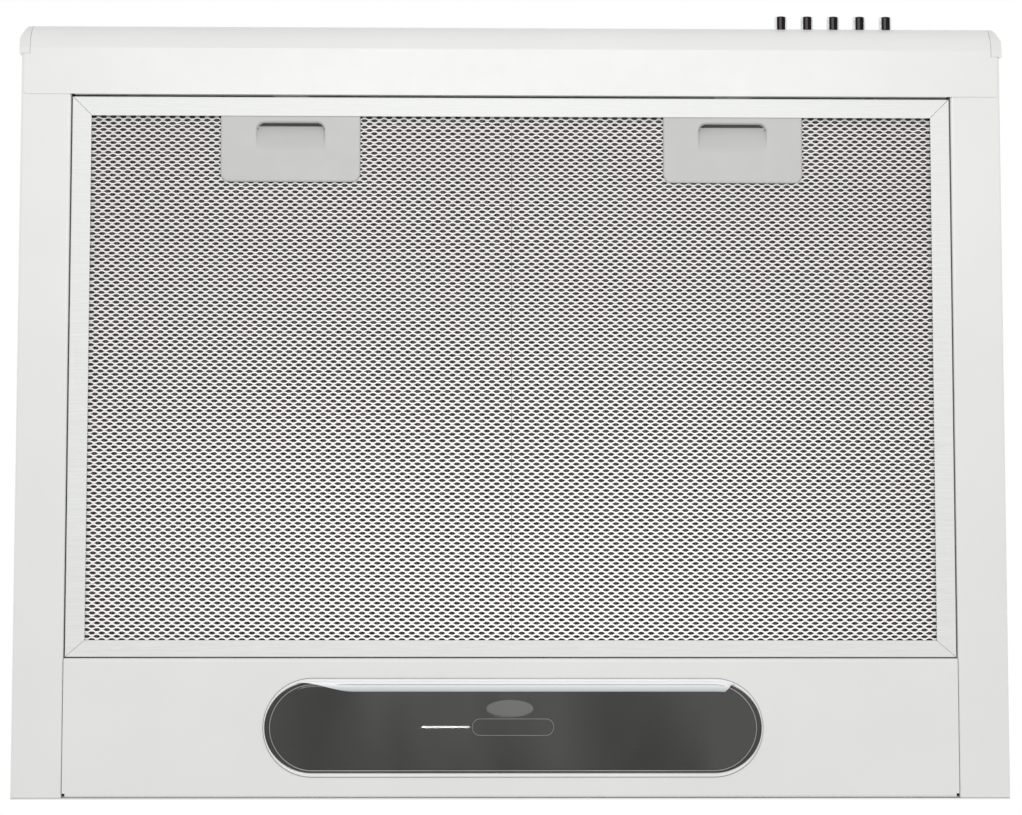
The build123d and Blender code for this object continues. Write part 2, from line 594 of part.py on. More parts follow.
with BuildPart() as blower_upper:
    add(blower_case.part)
    split(bisect_by=Plane.XY.offset(BLOWER_SPLIT_Z), keep=Keep.TOP)
save(blower_upper.part, "blower_upper")
with BuildPart() as blower_lower:
    add(blower_case.part)
    split(bisect_by=Plane.XY.offset(BLOWER_SPLIT_Z), keep=Keep.BOTTOM)
save(blower_lower.part, "blower_lower")

# Guards over the two side inlets.
GUARD_RADIUS = 43.0
with BuildPart() as inlet_guard:
    with BuildSketch(Plane.YZ.offset(BLOWER_HALF_X + 0.05)):
        with Locations((0, SHAFT_Z)):
            Circle(GUARD_RADIUS)
            Circle(INLET_RADIUS - 1, mode=Mode.SUBTRACT)
        for bar_y in range(-27, 28, 9):
            with Locations((bar_y, SHAFT_Z)):
                Rectangle(1.6, 2 * sqrt(INLET_RADIUS**2 - bar_y**2))
    extrude(amount=2)
save(joined(inlet_guard.part, mirrored(inlet_guard.part)), "inlet_guards")

# ---------------------------------------------------------------- motor
STATOR_HALF_X = 20.0
STATOR_RADIUS = 34.0
ROTOR_RADIUS = 17.5
SHIELD_X = 28.8
BEARING_RADIUS = 9.0
with BuildPart() as motor_stator:
    add(rod_along_x(-STATOR_HALF_X, STATOR_HALF_X, STATOR_RADIUS, bore=ROTOR_RADIUS + 0.5))
    with BuildSketch(Plane.YZ.offset(-STATOR_HALF_X - 1)):
        with Locations((0, SHAFT_Z)):
            with PolarLocations(24.5, 12):
                SlotOverall(7, 4)
    extrude(amount=2 * STATOR_HALF_X + 2, mode=Mode.SUBTRACT)
save(motor_stator.part, "motor_stator")

with BuildPart() as winding:
    with BuildSketch(Plane.YZ.offset(STATOR_HALF_X)):
        with Locations((0, SHAFT_Z)):
            Circle(29)
            Circle(19.5, mode=Mode.SUBTRACT)
    extrude(amount=7.5)
    fillet(winding.faces().sort_by(Axis.X)[-1].edges(), 2.5)
save(joined(winding.part, mirrored(winding.part)), "motor_windings")

with BuildPart() as motor_shield:
    add(rod_along_x(SHIELD_X, SHIELD_X + 2, STATOR_RADIUS))
    add(rod_along_x(SHIELD_X, SHIELD_X + 5.7, BEARING_RADIUS + 3))
    add(block((SHIELD_X, -9, BLOWER_BOTTOM + BLOWER_WALL + 1), (SHIELD_X + 2, 9, SHAFT_Z - 25)))
    add(rod_along_x(SHIELD_X - 1, SHIELD_X + 7, BEARING_RADIUS), mode=Mode.SUBTRACT)
    with BuildSketch(Plane.YZ.offset(SHIELD_X - 1)):
        with Locations((0, SHAFT_Z)):
            with PolarLocations(22, 6, start_angle=30):
                SlotOverall(12, 5, rotation=90)
    extrude(amount=4, mode=Mode.SUBTRACT)
save(joined(motor_shield.part, mirrored(motor_shield.part)), "motor_shields")
bearing = rod_along_x(SHIELD_X, SHIELD_X + 5.5, BEARING_RADIUS, bore=SHAFT_RADIUS + 0.05)
save(joined(bearing, mirrored(bearing)), "motor_bearings")

SHAFT_HALF_X = 72.0
save(rod_along_x(-SHAFT_HALF_X, SHAFT_HALF_X, SHAFT_RADIUS), "motor_shaft")
save(rod_along_x(-STATOR_HALF_X, STATOR_HALF_X, ROTOR_RADIUS, bore=SHAFT_RADIUS), "motor_rotor")

HUB_X = 36.0
IMPELLER_END_X = 98.0
BLADE_COUNT = 30
with BuildPart() as impeller_right:
    add(rod_along_x(HUB_X, HUB_X + 2, IMPELLER_RADIUS))
    add(rod_along_x(HUB_X, HUB_X + 22, 9))
    with BuildSketch(Plane.YZ.offset(HUB_X + 1)):
        with Locations((0, SHAFT_Z)):
            with PolarLocations(IMPELLER_RADIUS - 5, BLADE_COUNT):
                Rectangle(9, 0.9, rotation=28)
    extrude(amount=IMPELLER_END_X - HUB_X - 2)
    add(rod_along_x(IMPELLER_END_X - 2, IMPELLER_END_X, IMPELLER_RADIUS, bore=IMPELLER_RADIUS - 3.5))
    add(rod_along_x(HUB_X - 1, HUB_X + 30, SHAFT_RADIUS), mode=Mode.SUBTRACT)
save(impeller_right.part, "impeller_right")
save(mirrored(impeller_right.part), "impeller_left")

with BuildPart() as impeller_nut:
    with BuildSketch(Plane.YZ.offset(HUB_X + 22.05)):
        with Locations((0, SHAFT_Z)):
            RegularPolygon(7.5, 6)
            Circle(SHAFT_RADIUS, mode=Mode.SUBTRACT)
    extrude(amount=6.5)
save(joined(impeller_nut.part, mirrored(impeller_nut.part)), "impeller_nuts")

# ---------------------------------------------------------------- duct collar and damper
COLLAR_WALL = 1.5
FLANGE_RADIUS = 71.0
FLANGE_THICKNESS = 1.5
PIN_RADIUS = 1.5
with BuildPart() as duct_collar:
    with BuildSketch(Plane.XY):
        Circle(FLANGE_RADIUS)
    extrude(amount=FLANGE_THICKNESS)
    with BuildSketch(Plane.XY):
        Circle(COLLAR_RADIUS)
    extrude(amount=COLLAR_HEIGHT)
    with Locations((0, 0, COLLAR_HEIGHT)):
        Hole(COLLAR_RADIUS - COLLAR_WALL, depth=COLLAR_HEIGHT)
    with PolarLocations(65, 4, start_angle=45):
        Hole(1.7, depth=FLANGE_THICKNESS)
    add(rod_along_x(-COLLAR_RADIUS - 1, COLLAR_RADIUS + 1, PIN_RADIUS, z=DAMPER_PIN_Z), mode=Mode.SUBTRACT)
save(duct_collar.part, "duct_collar")
save(rod_along_x(-COLLAR_RADIUS + 0.3, COLLAR_RADIUS - 0.3, PIN_RADIUS, z=DAMPER_PIN_Z), "damper_pin")

FLAP_RADIUS = 57.0
KNUCKLE_RADIUS = 2.8
FLAP_EDGE_Y = KNUCKLE_RADIUS + 0.5


def damper_flap(side, knuckles):
    """Half-round flap on one side of the pin, with knuckles between the given x places."""
    with BuildPart() as flap:
        with BuildSketch(Plane.XY.offset(DAMPER_PIN_Z - 0.5)):
            Circle(FLAP_RADIUS)
            with Locations((0, side * (FLAP_EDGE_Y - FLAP_RADIUS))):
                Rectangle(2 * FLAP_RADIUS, 2 * FLAP_RADIUS, mode=Mode.SUBTRACT)
        extrude(amount=1.0)
        for x_low, x_high in knuckles:
            add(rod_along_x(x_low, x_high, KNUCKLE_RADIUS, z=DAMPER_PIN_Z))
            near, far = sorted((0.0, side * (FLAP_EDGE_Y + 1)))
            add(block((x_low, near, DAMPER_PIN_Z - 0.5), (x_high, far, DAMPER_PIN_Z + 0.5)))
        add(rod_along_x(-COLLAR_RADIUS, COLLAR_RADIUS, PIN_RADIUS + 0.06, z=DAMPER_PIN_Z), mode=Mode.SUBTRACT)
    return flap.part


save(damper_flap(1, [(-40, -20), (20, 40)]), "damper_flap_rear")
save(damper_flap(-1, [(-54, -42), (-10, 10), (42, 54)]), "damper_flap_front")

# ---------------------------------------------------------------- push-button switch
SWITCH_FRONT_Y = -312.0
SWITCH_REAR_Y = -284.0
SWITCH_LOW_Z = BUTTON_Z - 10.0
SWITCH_HIGH_Z = BUTTON_Z + 10.0
SWITCH_HALF_X = 43.0
STEM_RADIUS = 2.3
STEM_END_Y = -298.0
BORE_END_Y = -288.0
with BuildPart() as switch_body:
    add(block((BUTTON_CENTRE_X - SWITCH_HALF_X, SWITCH_FRONT_Y, SWITCH_LOW_Z),
              (BUTTON_CENTRE_X + SWITCH_HALF_X, SWITCH_REAR_Y, SWITCH_HIGH_Z)))
    chamfer(switch_body.edges().filter_by(Axis.X).group_by(Axis.Y)[0], 1)
    with BuildSketch(Plane.XZ.offset(-SWITCH_FRONT_Y + 1)):
        with Locations(*[(x, BUTTON_Z) for x in BUTTONS_X]):
            Circle(STEM_RADIUS + 0.3)
    extrude(amount=-(BORE_END_Y - SWITCH_FRONT_Y + 1), mode=Mode.SUBTRACT)
save(switch_body.part, "switch_body")

# A chair of folded sheet under and behind the switch, standing on the fascia's flat.
seat_z = SWITCH_LOW_Z - 0.05
bracket_rear_y = SWITCH_REAR_Y + 1.1
bracket_low_x = BUTTON_CENTRE_X - SWITCH_HALF_X - 5
bracket_high_x = BUTTON_CENTRE_X + SWITCH_HALF_X + 5
with BuildPart() as switch_bracket:
    add(block((bracket_low_x, SWITCH_FRONT_Y + 4, seat_z - 1), (bracket_high_x, bracket_rear_y, seat_z)))
    add(block((bracket_low_x, bracket_rear_y - 1, seat_z - 1),
              (bracket_high_x, bracket_rear_y, SWITCH_HIGH_Z)))
    for leg_x in (bracket_low_x, bracket_high_x - 1):
        add(block((leg_x, SWITCH_FRONT_Y + 9, BOTTOM + SHEET + 0.05), (leg_x + 1, bracket_rear_y, seat_z)))
save(switch_bracket.part, "switch_bracket")

CAP_END_Y = -318.0
for number, button_x in enumerate(BUTTONS_X, start=1):
    with BuildPart() as button:
        with BuildSketch(Plane.XZ.offset(-BUTTON_TIP_Y)):
            with Locations((button_x, BUTTON_Z)):
                Circle(BUTTON_RADIUS)
        extrude(amount=-(CAP_END_Y - BUTTON_TIP_Y))
        fillet(button.faces().sort_by(Axis.Y)[0].edges(), 0.8)
        with BuildSketch(Plane.XZ.offset(-CAP_END_Y)):
            with Locations((button_x, BUTTON_Z)):
                Circle(STEM_RADIUS)
        extrude(amount=-(STEM_END_Y - CAP_END_Y))
    save(button.part, f"button_{number}")
save(joined(*[coil_spring((x, STEM_END_Y + 0.5, BUTTON_Z), 1.7, 0.25, BORE_END_Y - STEM_END_Y - 1, 6)
              for x in BUTTONS_X]), "button_springs")

# ---------------------------------------------------------------- wiring and small fittings
TERMINAL_X = (215.0, 275.0)
TERMINAL_Y = (85.0, 140.0)
TERMINAL_Z = (-37.0, -2.0)
TERMINAL_WALL = 1.5
with BuildPart() as terminal_box:
    add(block((TERMINAL_X[0], TERMINAL_Y[0], TERMINAL_Z[0]), (TERMINAL_X[1], TERMINAL_Y[1], TERMINAL_Z[1])))
    fillet(terminal_box.edges().filter_by(Axis.Z), 4)
    add(block((TERMINAL_X[0] + TERMINAL_WALL, TERMINAL_Y[0] + TERMINAL_WALL, TERMINAL_Z[0] - 1),
              (TERMINAL_X[1] - TERMINAL_WALL, TERMINAL_Y[1] - TERMINAL_WALL, TERMINAL_Z[1] - TERMINAL_WALL)),
        mode=Mode.SUBTRACT)
    with Locations((GROMMET_X, GROMMET_Y, TERMINAL_Z[1])):
        Hole(7.0, depth=3)
    add(rod_along_x(TERMINAL_X[0] - 1, TERMINAL_X[0] + 3, 3.3, y=125, z=-20), mode=Mode.SUBTRACT)
    add(rod_along_x(TERMINAL_X[0] - 1, TERMINAL_X[0] + 3, 3.3, y=98, z=-26), mode=Mode.SUBTRACT)
    with BuildSketch(Plane.XZ.offset(-TERMINAL_Y[0] + 1)):
        with Locations((240, -20)):
            Circle(3.3)
    extrude(amount=-4, mode=Mode.SUBTRACT)
save(terminal_box.part, "terminal_box")
with BuildPart() as terminal_lid:
    add(block((TERMINAL_X[0], TERMINAL_Y[0], TERMINAL_Z[0] - 2.05),
              (TERMINAL_X[1], TERMINAL_Y[1], TERMINAL_Z[0] - 0.05)))
    fillet(terminal_lid.edges().filter_by(Axis.Z), 4)
save(terminal_lid.part, "terminal_lid")

GROMMET_BORE = 4.0
with BuildPart() as cable_grommet:
    with BuildSketch(Plane.XZ.offset(-GROMMET_Y)):
        with BuildLine():
            Polyline((GROMMET_X + GROMMET_BORE, 2.5), (GROMMET_X + 10, 2.5), (GROMMET_X + 10, 0.05),
                     (GROMMET_X + 6.8, 0.05), (GROMMET_X + 6.8, -3.6), (GROMMET_X + 9.5, -3.6),
                     (GROMMET_X + 9.5, -6), (GROMMET_X + GROMMET_BORE, -6), close=True)
        make_face()
    revolve(axis=Axis((GROMMET_X, GROMMET_Y, 0), (0, 0, 1)))
save(cable_grommet.part, "cable_grommet")

CAPACITOR_X = 170.0
CAPACITOR_RADIUS = 14.0
capacitor_z = -2 * SHEET - CAPACITOR_RADIUS - 1
with BuildPart() as capacitor:
    with BuildSketch(Plane.XZ.offset(30)):
        with Locations((CAPACITOR_X, capacitor_z)):
            Circle(CAPACITOR_RADIUS)
    extrude(amount=-50)
    fillet(capacitor.edges().filter_by(GeomType.CIRCLE), 1.5)
save(capacitor.part, "capacitor")
with BuildPart() as capacitor_clamp:
    with BuildSketch(Plane.XZ.offset(12)):
        with Locations((CAPACITOR_X, capacitor_z)):
            Circle(CAPACITOR_RADIUS + 0.9)
        with Locations((CAPACITOR_X, -SHEET - 0.55)):
            Rectangle(2 * CAPACITOR_RADIUS + 20, 1)
        with Locations((CAPACITOR_X, capacitor_z)):
            Circle(CAPACITOR_RADIUS + 0.05, mode=Mode.SUBTRACT)
        with Locations((CAPACITOR_X, 20 - SHEET - 0.05)):
            Rectangle(60, 40, mode=Mode.SUBTRACT)
    extrude(amount=-12)
save(capacitor_clamp.part, "capacitor_clamp")

CABLE_RADIUS = 3.0
save(cable([(217, 125, -20), (195, 125, -20), (150, 120, -21), (110, 110, -22), (60, 96, -26),
            (MOTOR_CABLE_X, 84, MOTOR_CABLE_Z), (MOTOR_CABLE_X, 46, MOTOR_CABLE_Z), (14, 32, -40)],
           [100, 150, 200, 200, 20, 22], CABLE_RADIUS), "motor_cable")
save(cable([(217, 98, -26), (195, 98, -26), (150, 102, -44), (LAMP_CABLE_X, LENS_Y, -64),
            (LAMP_CABLE_X, LENS_Y, -92)], [48, 200, 20], CABLE_RADIUS), "lamp_cable")
save(cable([(225, -289, SWITCH_HIGH_Z + 0.02), (225, -289, -86), (228, -245, -60), (234, -180, -34),
            (240, -110, -20), (243, -40, -18), (242, 30, -18), (240, 88, -20)],
           [13, 150, 150, 150, 300, 300], CABLE_RADIUS), "switch_cable")


def screw(place, length, shank_radius, head_radius, head_height):
    """Pan-head screw pointing down from the underside of its head."""
    x, y, z = place
    with BuildPart() as fastener:
        with BuildSketch(Plane.XY.offset(z)):
            with Locations((x, y)):
                Circle(head_radius)
        extrude(amount=head_height)
        fillet(fastener.faces().sort_by(Axis.Z)[-1].edges(), 0.4 * head_height)
        with BuildSketch(Plane.XY.offset(z)):
            with Locations((x, y)):
                Circle(shank_radius)
        extrude(amount=-length)
    return fastener.part


collar_turns = [radians(turn) for turn in (45, 135, 225, 315)]
collar_places = [(65 * cos(turn), 65 * sin(turn), FLANGE_THICKNESS + 0.02) for turn in collar_turns]
save(joined(*[screw(place, FLANGE_THICKNESS + SHEET, 1.6, 3.2, 1.8) for place in collar_places]),
     "collar_screws")


def stud_and_nut(x, y):
    """Stud hanging from the top panel, with its nut under the blower's ear."""
    ear_low = BLOWER_TOP - EAR_THICKNESS
    with BuildPart() as fixing:
        with BuildSketch(Plane.XY.offset(-SHEET - 0.02)):
            with Locations((x, y)):
                Circle(1.95)
        extrude(amount=-8)
        with BuildSketch(Plane.XY.offset(ear_low - 0.05)):
            with Locations((x, y)):
                RegularPolygon(4, 6)
        extrude(amount=-3.2)
    return fixing.part


save(joined(*[stud_and_nut(x, y) for x, y in EAR_PLACES]), "blower_fixings")
save(joined(*[screw((x, y, BLOWER_SPLIT_Z + 2.05), 5, 1.5, 3.0, 1.8) for x, y in FLANGE_PLACES]),
     "blower_screws")
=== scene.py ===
import json

import bmesh
import bpy
import numpy as np
from mathutils import Matrix, Vector


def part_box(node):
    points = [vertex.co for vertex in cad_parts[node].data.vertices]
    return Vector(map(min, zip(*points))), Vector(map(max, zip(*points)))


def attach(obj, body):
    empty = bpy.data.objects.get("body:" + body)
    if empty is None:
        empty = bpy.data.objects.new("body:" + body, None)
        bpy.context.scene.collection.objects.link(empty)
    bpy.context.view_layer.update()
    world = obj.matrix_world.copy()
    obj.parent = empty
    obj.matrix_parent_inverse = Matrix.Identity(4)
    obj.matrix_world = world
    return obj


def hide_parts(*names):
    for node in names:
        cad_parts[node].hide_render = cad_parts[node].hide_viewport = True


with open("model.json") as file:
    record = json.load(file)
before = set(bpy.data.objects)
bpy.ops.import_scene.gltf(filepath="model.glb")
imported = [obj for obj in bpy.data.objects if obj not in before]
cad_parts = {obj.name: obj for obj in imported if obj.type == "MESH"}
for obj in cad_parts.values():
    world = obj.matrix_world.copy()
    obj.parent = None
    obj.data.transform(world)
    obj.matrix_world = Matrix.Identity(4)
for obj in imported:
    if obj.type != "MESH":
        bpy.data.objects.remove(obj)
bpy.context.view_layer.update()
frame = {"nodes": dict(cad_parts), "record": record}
nodes = frame["nodes"]

# Looks of an under-cabinet range hood. Shapes are worked out in millimetres, and new_piece and
# rounded_block turn them into metres. The floor and the lights are in metres.
# +X is right, +Y is towards the wall, and the hood is seen from below.
MM = 0.001


def box_mm(node):
    """A CAD node's lowest and highest corners in millimetres."""
    low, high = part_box(node)
    return np.array(low) / MM, np.array(high) / MM


SHOULDER_INSET = 1.6  # from the lens's front edge to the painted reflection on its shoulder
REFLECTION_FRONT_Y = box_mm("lamp_lens")[0][1] + SHOULDER_INSET
REFLECTION_REAR_Y = REFLECTION_FRONT_Y + 6.4


# ---------------------------------------------------------------- material helpers
def new_material(name):
    """A node material, returned with its tree and its main shader."""
    material = bpy.data.materials.new(name)
    material.use_nodes = True
    tree = material.node_tree
    return material, tree, tree.nodes["Principled BSDF"]


def add_node(tree, kind, **inputs):
    """One node with some of its input values set by socket name."""
    node = tree.nodes.new(kind)
    for key, value in inputs.items():
        node.inputs[key.replace("_", " ")].default_value = value
    return node


def stretched_position(tree, scale):
    """Object position in metres, stretched by a scale for each axis."""
    place = tree.nodes.new("ShaderNodeTexCoord")
    mapping = add_node(tree, "ShaderNodeMapping", Scale=scale)
    tree.links.new(place.outputs["Object"], mapping.inputs["Vector"])
    return mapping.outputs["Vector"]


def noise(tree, size_mm, detail=2.0, stretch=(1, 1, 1), roughness=0.5):
    """Noise whose blobs are about size_mm across."""
    texture = add_node(tree, "ShaderNodeTexNoise", Scale=1000 / size_mm, Detail=detail, Roughness=roughness)
    tree.links.new(stretched_position(tree, stretch), texture.inputs["Vector"])
    return texture.outputs["Fac"]


def mixed_colour(tree, shader, factor, low, high, span=(0.35, 0.65)):
    """Colour that runs from low to high with a factor."""
    ramp = tree.nodes.new("ShaderNodeValToRGB")
    ramp.color_ramp.elements[0].position = span[0]
    ramp.color_ramp.elements[0].color = (*low, 1)
    ramp.color_ramp.elements[1].position = span[1]
    ramp.color_ramp.elements[1].color = (*high, 1)
    tree.links.new(factor, ramp.inputs["Fac"])
    tree.links.new(ramp.outputs["Color"], shader.inputs["Base Color"])


def mixed_value(tree, socket, factor, low, high):
    """A shader value that runs from low to high with a factor."""
    spread = add_node(tree, "ShaderNodeMapRange")
    spread.inputs["From Min"].default_value = 0.3
    spread.inputs["From Max"].default_value = 0.7
    spread.inputs["To Min"].default_value = low
    spread.inputs["To Max"].default_value = high
    tree.links.new(factor, spread.inputs["Value"])
    tree.links.new(spread.outputs["Result"], socket)


def bump(tree, shader, height, depth_mm, strength=1.0):
    """Surface relief of a given depth."""
    node = add_node(tree, "ShaderNodeBump", Strength=strength, Distance=depth_mm * MM)
    tree.links.new(height, node.inputs["Height"])
    tree.links.new(node.outputs["Normal"], shader.inputs["Normal"])


def painted(name, low, high, roughness, peel_mm, peel_depth, coat=0.0):
    """Paint or moulded skin: faint mottling, uneven gloss and a fine orange peel."""
    material, tree, shader = new_material(name)
    mixed_colour(tree, shader, noise(tree, 60, detail=3), low, high)
    gloss = noise(tree, 9, detail=3)
    mixed_value(tree, shader.inputs["Roughness"], gloss, roughness - 0.04, roughness + 0.05)
    bump(tree, shader, noise(tree, peel_mm), peel_depth)
    shader.inputs["Coat Weight"].default_value = coat
    shader.inputs["Coat Roughness"].default_value = 0.12
    return material


def metal(name, low, high, roughness, grain=(1, 1, 1), grain_mm=0.5, depth=0.004, metallic=1.0):
    """Metal with a rolled or brushed grain along the axis that grain leaves small."""
    material, tree, shader = new_material(name)
    shader.inputs["Metallic"].default_value = metallic
    streaks = noise(tree, grain_mm, detail=4, stretch=grain)
    mixed_colour(tree, shader, streaks, low, high)
    mixed_value(tree, shader.inputs["Roughness"], streaks, roughness - 0.05, roughness + 0.07)
    bump(tree, shader, streaks, depth)
    return material


# ---------------------------------------------------------------- materials
def knitted_wire():
    """Dark knitted wire behind the mesh: fine loops of wire over a brown ground, darkened as painted shade of
    the filter's inside.
    """
    material, tree, shader = new_material("knitted_core")
    shader.inputs["Metallic"].default_value = 0.5
    shader.inputs["Roughness"].default_value = 0.6
    cells = add_node(tree, "ShaderNodeTexVoronoi", Scale=620.0)
    cells.feature = "DISTANCE_TO_EDGE"
    tree.links.new(stretched_position(tree, (1, 1, 1)), cells.inputs["Vector"])
    # Painted shade: the near-black brown ground between the wire loops.
    mixed_colour(tree, shader, cells.outputs["Distance"], (0.13, 0.10, 0.09), (0.022, 0.014, 0.012),
                 (0.04, 0.20))
    bump(tree, shader, cells.outputs["Distance"], 0.3)
    return material


def clear_plastic():
    """Smoky clear plastic over a dark lamp box; its own dark tone is partly the plastic's smoke and partly
    painted shade of the unlit box behind it, and its soft uneven bands are painted reflection.
    """
    material, tree, shader = new_material("clear_plastic")
    shader.inputs["Transmission Weight"].default_value = 0.45
    shader.inputs["IOR"].default_value = 1.5
    # Painted reflection: soft bands stretched along Y.
    painted_reflection_bands = noise(tree, 70, detail=2, stretch=(1, 0.35, 0.35))
    mixed_colour(tree, shader, painted_reflection_bands, (0.055, 0.055, 0.054), (0.115, 0.115, 0.113), (0.38, 0.62))
    mixed_value(tree, shader.inputs["Roughness"], noise(tree, 25, detail=1), 0.0, 0.02)
    return material


def painted_reflection_lip_material():
    """Painted reflection on the lens's front shoulder: bright white at its outside, fading to blue-grey at
    its inside.
    """
    material, tree, shader = new_material("shoulder_painted_reflection")
    place = tree.nodes.new("ShaderNodeTexCoord")
    parts = tree.nodes.new("ShaderNodeSeparateXYZ")
    across = tree.nodes.new("ShaderNodeMapRange")
    tree.links.new(place.outputs["Object"], parts.inputs["Vector"])
    tree.links.new(parts.outputs["Y"], across.inputs["Value"])
    across.inputs["From Min"].default_value = REFLECTION_FRONT_Y * MM
    across.inputs["From Max"].default_value = REFLECTION_REAR_Y * MM
    mixed_colour(tree, shader, across.outputs["Result"], (0.98, 0.99, 1.0), (0.50, 0.55, 0.57), (0.25, 1.0))
    shader.inputs["Roughness"].default_value = 0.2
    bump(tree, shader, noise(tree, 9), 0.02)
    return material


def lamp_glass():
    """Grey gloss of an unlit lamp's glass, opaque."""
    material, tree, shader = new_material("bulb_glass")
    shader.inputs["Metallic"].default_value = 0.0
    shader.inputs["Coat Weight"].default_value = 0.5
    shader.inputs["Coat Roughness"].default_value = 0.25
    mixed_colour(tree, shader, noise(tree, 16), (0.10, 0.10, 0.10), (0.13, 0.13, 0.13))
    mixed_value(tree, shader.inputs["Roughness"], noise(tree, 5), 0.28, 0.34)
    return material


def chrome():
    """Chromed plastic with faint waviness; its dark underside and bright flanks are a painted reflection."""
    material, tree, shader = new_material("button_chrome")
    shader.inputs["Metallic"].default_value = 1.0
    place = tree.nodes.new("ShaderNodeTexCoord")
    parts = tree.nodes.new("ShaderNodeSeparateXYZ")
    tree.links.new(place.outputs["Normal"], parts.inputs["Vector"])
    # Painted reflection: the colour darkens where the surface faces down.
    painted_reflection_fade = tree.nodes.new("ShaderNodeMapRange")
    painted_reflection_fade.inputs["From Min"].default_value = -1.0
    painted_reflection_fade.inputs["From Max"].default_value = 0.0
    tree.links.new(parts.outputs["Z"], painted_reflection_fade.inputs["Value"])
    mixed_colour(tree, shader, painted_reflection_fade.outputs["Result"], (0.025, 0.022, 0.024), (0.78, 0.79, 0.80),
                 (0.20, 0.30))
    mixed_value(tree, shader.inputs["Roughness"], noise(tree, 1.2), 0.04, 0.10)
    bump(tree, shader, noise(tree, 2.5), 0.01)
    return material


MATERIALS = {
    "white_paint": painted("white_paint", (0.86, 0.865, 0.86), (0.88, 0.885, 0.88), 0.34, 1.4, 0.006,
                           coat=0.15),
    "white_plastic": painted("white_plastic", (0.84, 0.845, 0.84), (0.86, 0.865, 0.86), 0.30, 2.2, 0.004,
                             coat=0.2),
    "clear_plastic": clear_plastic(),
    "bulb_glass": lamp_glass(),
    "lamp_plastic": painted("lamp_plastic", (0.060, 0.060, 0.060), (0.075, 0.075, 0.074), 0.5, 0.8, 0.01),
    "zinc_steel": metal("zinc_steel", (0.40, 0.41, 0.42), (0.52, 0.53, 0.54), 0.38, grain_mm=14, depth=0.004),
    "motor_steel": metal("motor_steel", (0.22, 0.22, 0.23), (0.34, 0.34, 0.35), 0.5, grain=(60, 1, 1),
                         grain_mm=40),
    "bright_steel": metal("bright_steel", (0.58, 0.58, 0.59), (0.70, 0.70, 0.71), 0.25, grain_mm=2),
    "copper_wire": metal("copper_wire", (0.50, 0.22, 0.10), (0.72, 0.36, 0.18), 0.35, grain=(20, 1, 1),
                         grain_mm=12),
    "black_plastic": painted("black_plastic", (0.022, 0.022, 0.023), (0.032, 0.032, 0.033), 0.48, 0.6, 0.012),
    "grey_plastic": painted("grey_plastic", (0.20, 0.205, 0.21), (0.24, 0.245, 0.25), 0.45, 0.7, 0.012),
    "filter_aluminium": metal("filter_aluminium", (0.82, 0.83, 0.82), (0.88, 0.89, 0.88), 0.5,
                              grain=(0.04, 1, 1), grain_mm=0.6, depth=0.003, metallic=0.12),
    "mesh_aluminium": metal("mesh_aluminium", (0.95, 0.95, 0.95), (0.99, 0.99, 0.99), 0.4, grain_mm=1.5,
                            metallic=0.3),
    "knitted_core": knitted_wire(),
    "latch_plastic": painted("latch_plastic", (0.565, 0.57, 0.56), (0.585, 0.59, 0.58), 0.42, 0.5, 0.006),
    "grommet_rubber": painted("grommet_rubber", (0.018, 0.018, 0.018), (0.028, 0.028, 0.028), 0.6, 0.8, 0.02),
    "capacitor_plastic": painted("capacitor_plastic", (0.66, 0.66, 0.64), (0.72, 0.72, 0.70), 0.4, 0.9, 0.01),
    "cable_sheath": painted("cable_sheath", (0.03, 0.03, 0.032), (0.045, 0.045, 0.048), 0.42, 0.9, 0.02),
    "button_chrome": chrome(),
    "clear_rim": painted("clear_rim", (0.93, 0.94, 0.94), (0.97, 0.98, 0.98), 0.15, 3.0, 0.01, coat=0.6),
    "shoulder_painted_reflection": painted_reflection_lip_material(),
    # Painted shadow for the groove inside the lens bead.
    "groove_painted_shadow": painted("groove_painted_shadow", (0.045, 0.043, 0.043), (0.07, 0.066, 0.066), 0.15, 3.0, 0.004),
    # Painted shadow for the latch recesses' front walls and sides.
    "recess_painted_shadow": painted("recess_painted_shadow", (0.10, 0.10, 0.097), (0.13, 0.13, 0.127), 0.6, 0.5, 0.01),
    # Painted highlight for the fine ridges on the clear lens.
    "bead_painted_highlight": painted("bead_painted_highlight", (0.30, 0.29, 0.29), (0.38, 0.37, 0.37), 0.2, 3.0, 0.004),
    # Painted shade: near-black metal for the inside of the lamp box, as if unlit.
    "lamp_box_painted_shade": metal("lamp_box_painted_shade", (0.05, 0.05, 0.05), (0.09, 0.09, 0.09), 0.45, grain_mm=30, depth=0.004),
}
LAMP_PAINTED_SHADE = ("lamp_box",)  # nodes that take near-black metal as painted shade of the unlit lamp box, not their own slot's material
for part in frame["record"]["subparts"]:
    mesh = nodes[part["node"]].data
    mesh.materials.clear()
    inside = part["node"] in LAMP_PAINTED_SHADE
    mesh.materials.append(MATERIALS["lamp_box_painted_shade" if inside else part["material_slot"]])


# ---------------------------------------------------------------- mesh helpers
def new_piece(name, vertices, faces, slot, body, smooth=True):
    """A mesh object from millimetre points, riding on a body."""
    mesh = bpy.data.meshes.new(name)
    mesh.from_pydata([tuple(v) for v in np.asarray(vertices) * MM], [], [tuple(f) for f in faces])
    mesh.validate()
    mesh.update()
    mesh.materials.append(MATERIALS[slot])
    piece = bpy.data.objects.new(name, mesh)
    bpy.context.scene.collection.objects.link(piece)
    for polygon in mesh.polygons:
        polygon.use_smooth = smooth
    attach(piece, body)
    return piece


# ---------------------------------------------------------------- expanded filter mesh
PERIOD_X = 6.0
PERIOD_Y = 4.0
SAMPLES = 8  # points along one period of a strand
HOLE_HALF_WIDTH = 2.1
HOLE_HALF_HEIGHT = 0.93
STRAND_RISE = 0.14  # half the rise across a strand
MESH_INSET = 0.5  # gap between a mesh's edge and its CAD box


def hole_edge(along):
    """Half height of a hole at a distance along X from its centre: blunt inside, pointed at the ends."""
    reach = np.clip(1 - np.abs(along) / HOLE_HALF_WIDTH, 0, 1)
    return HOLE_HALF_HEIGHT * np.minimum(1, 2.0 * reach)


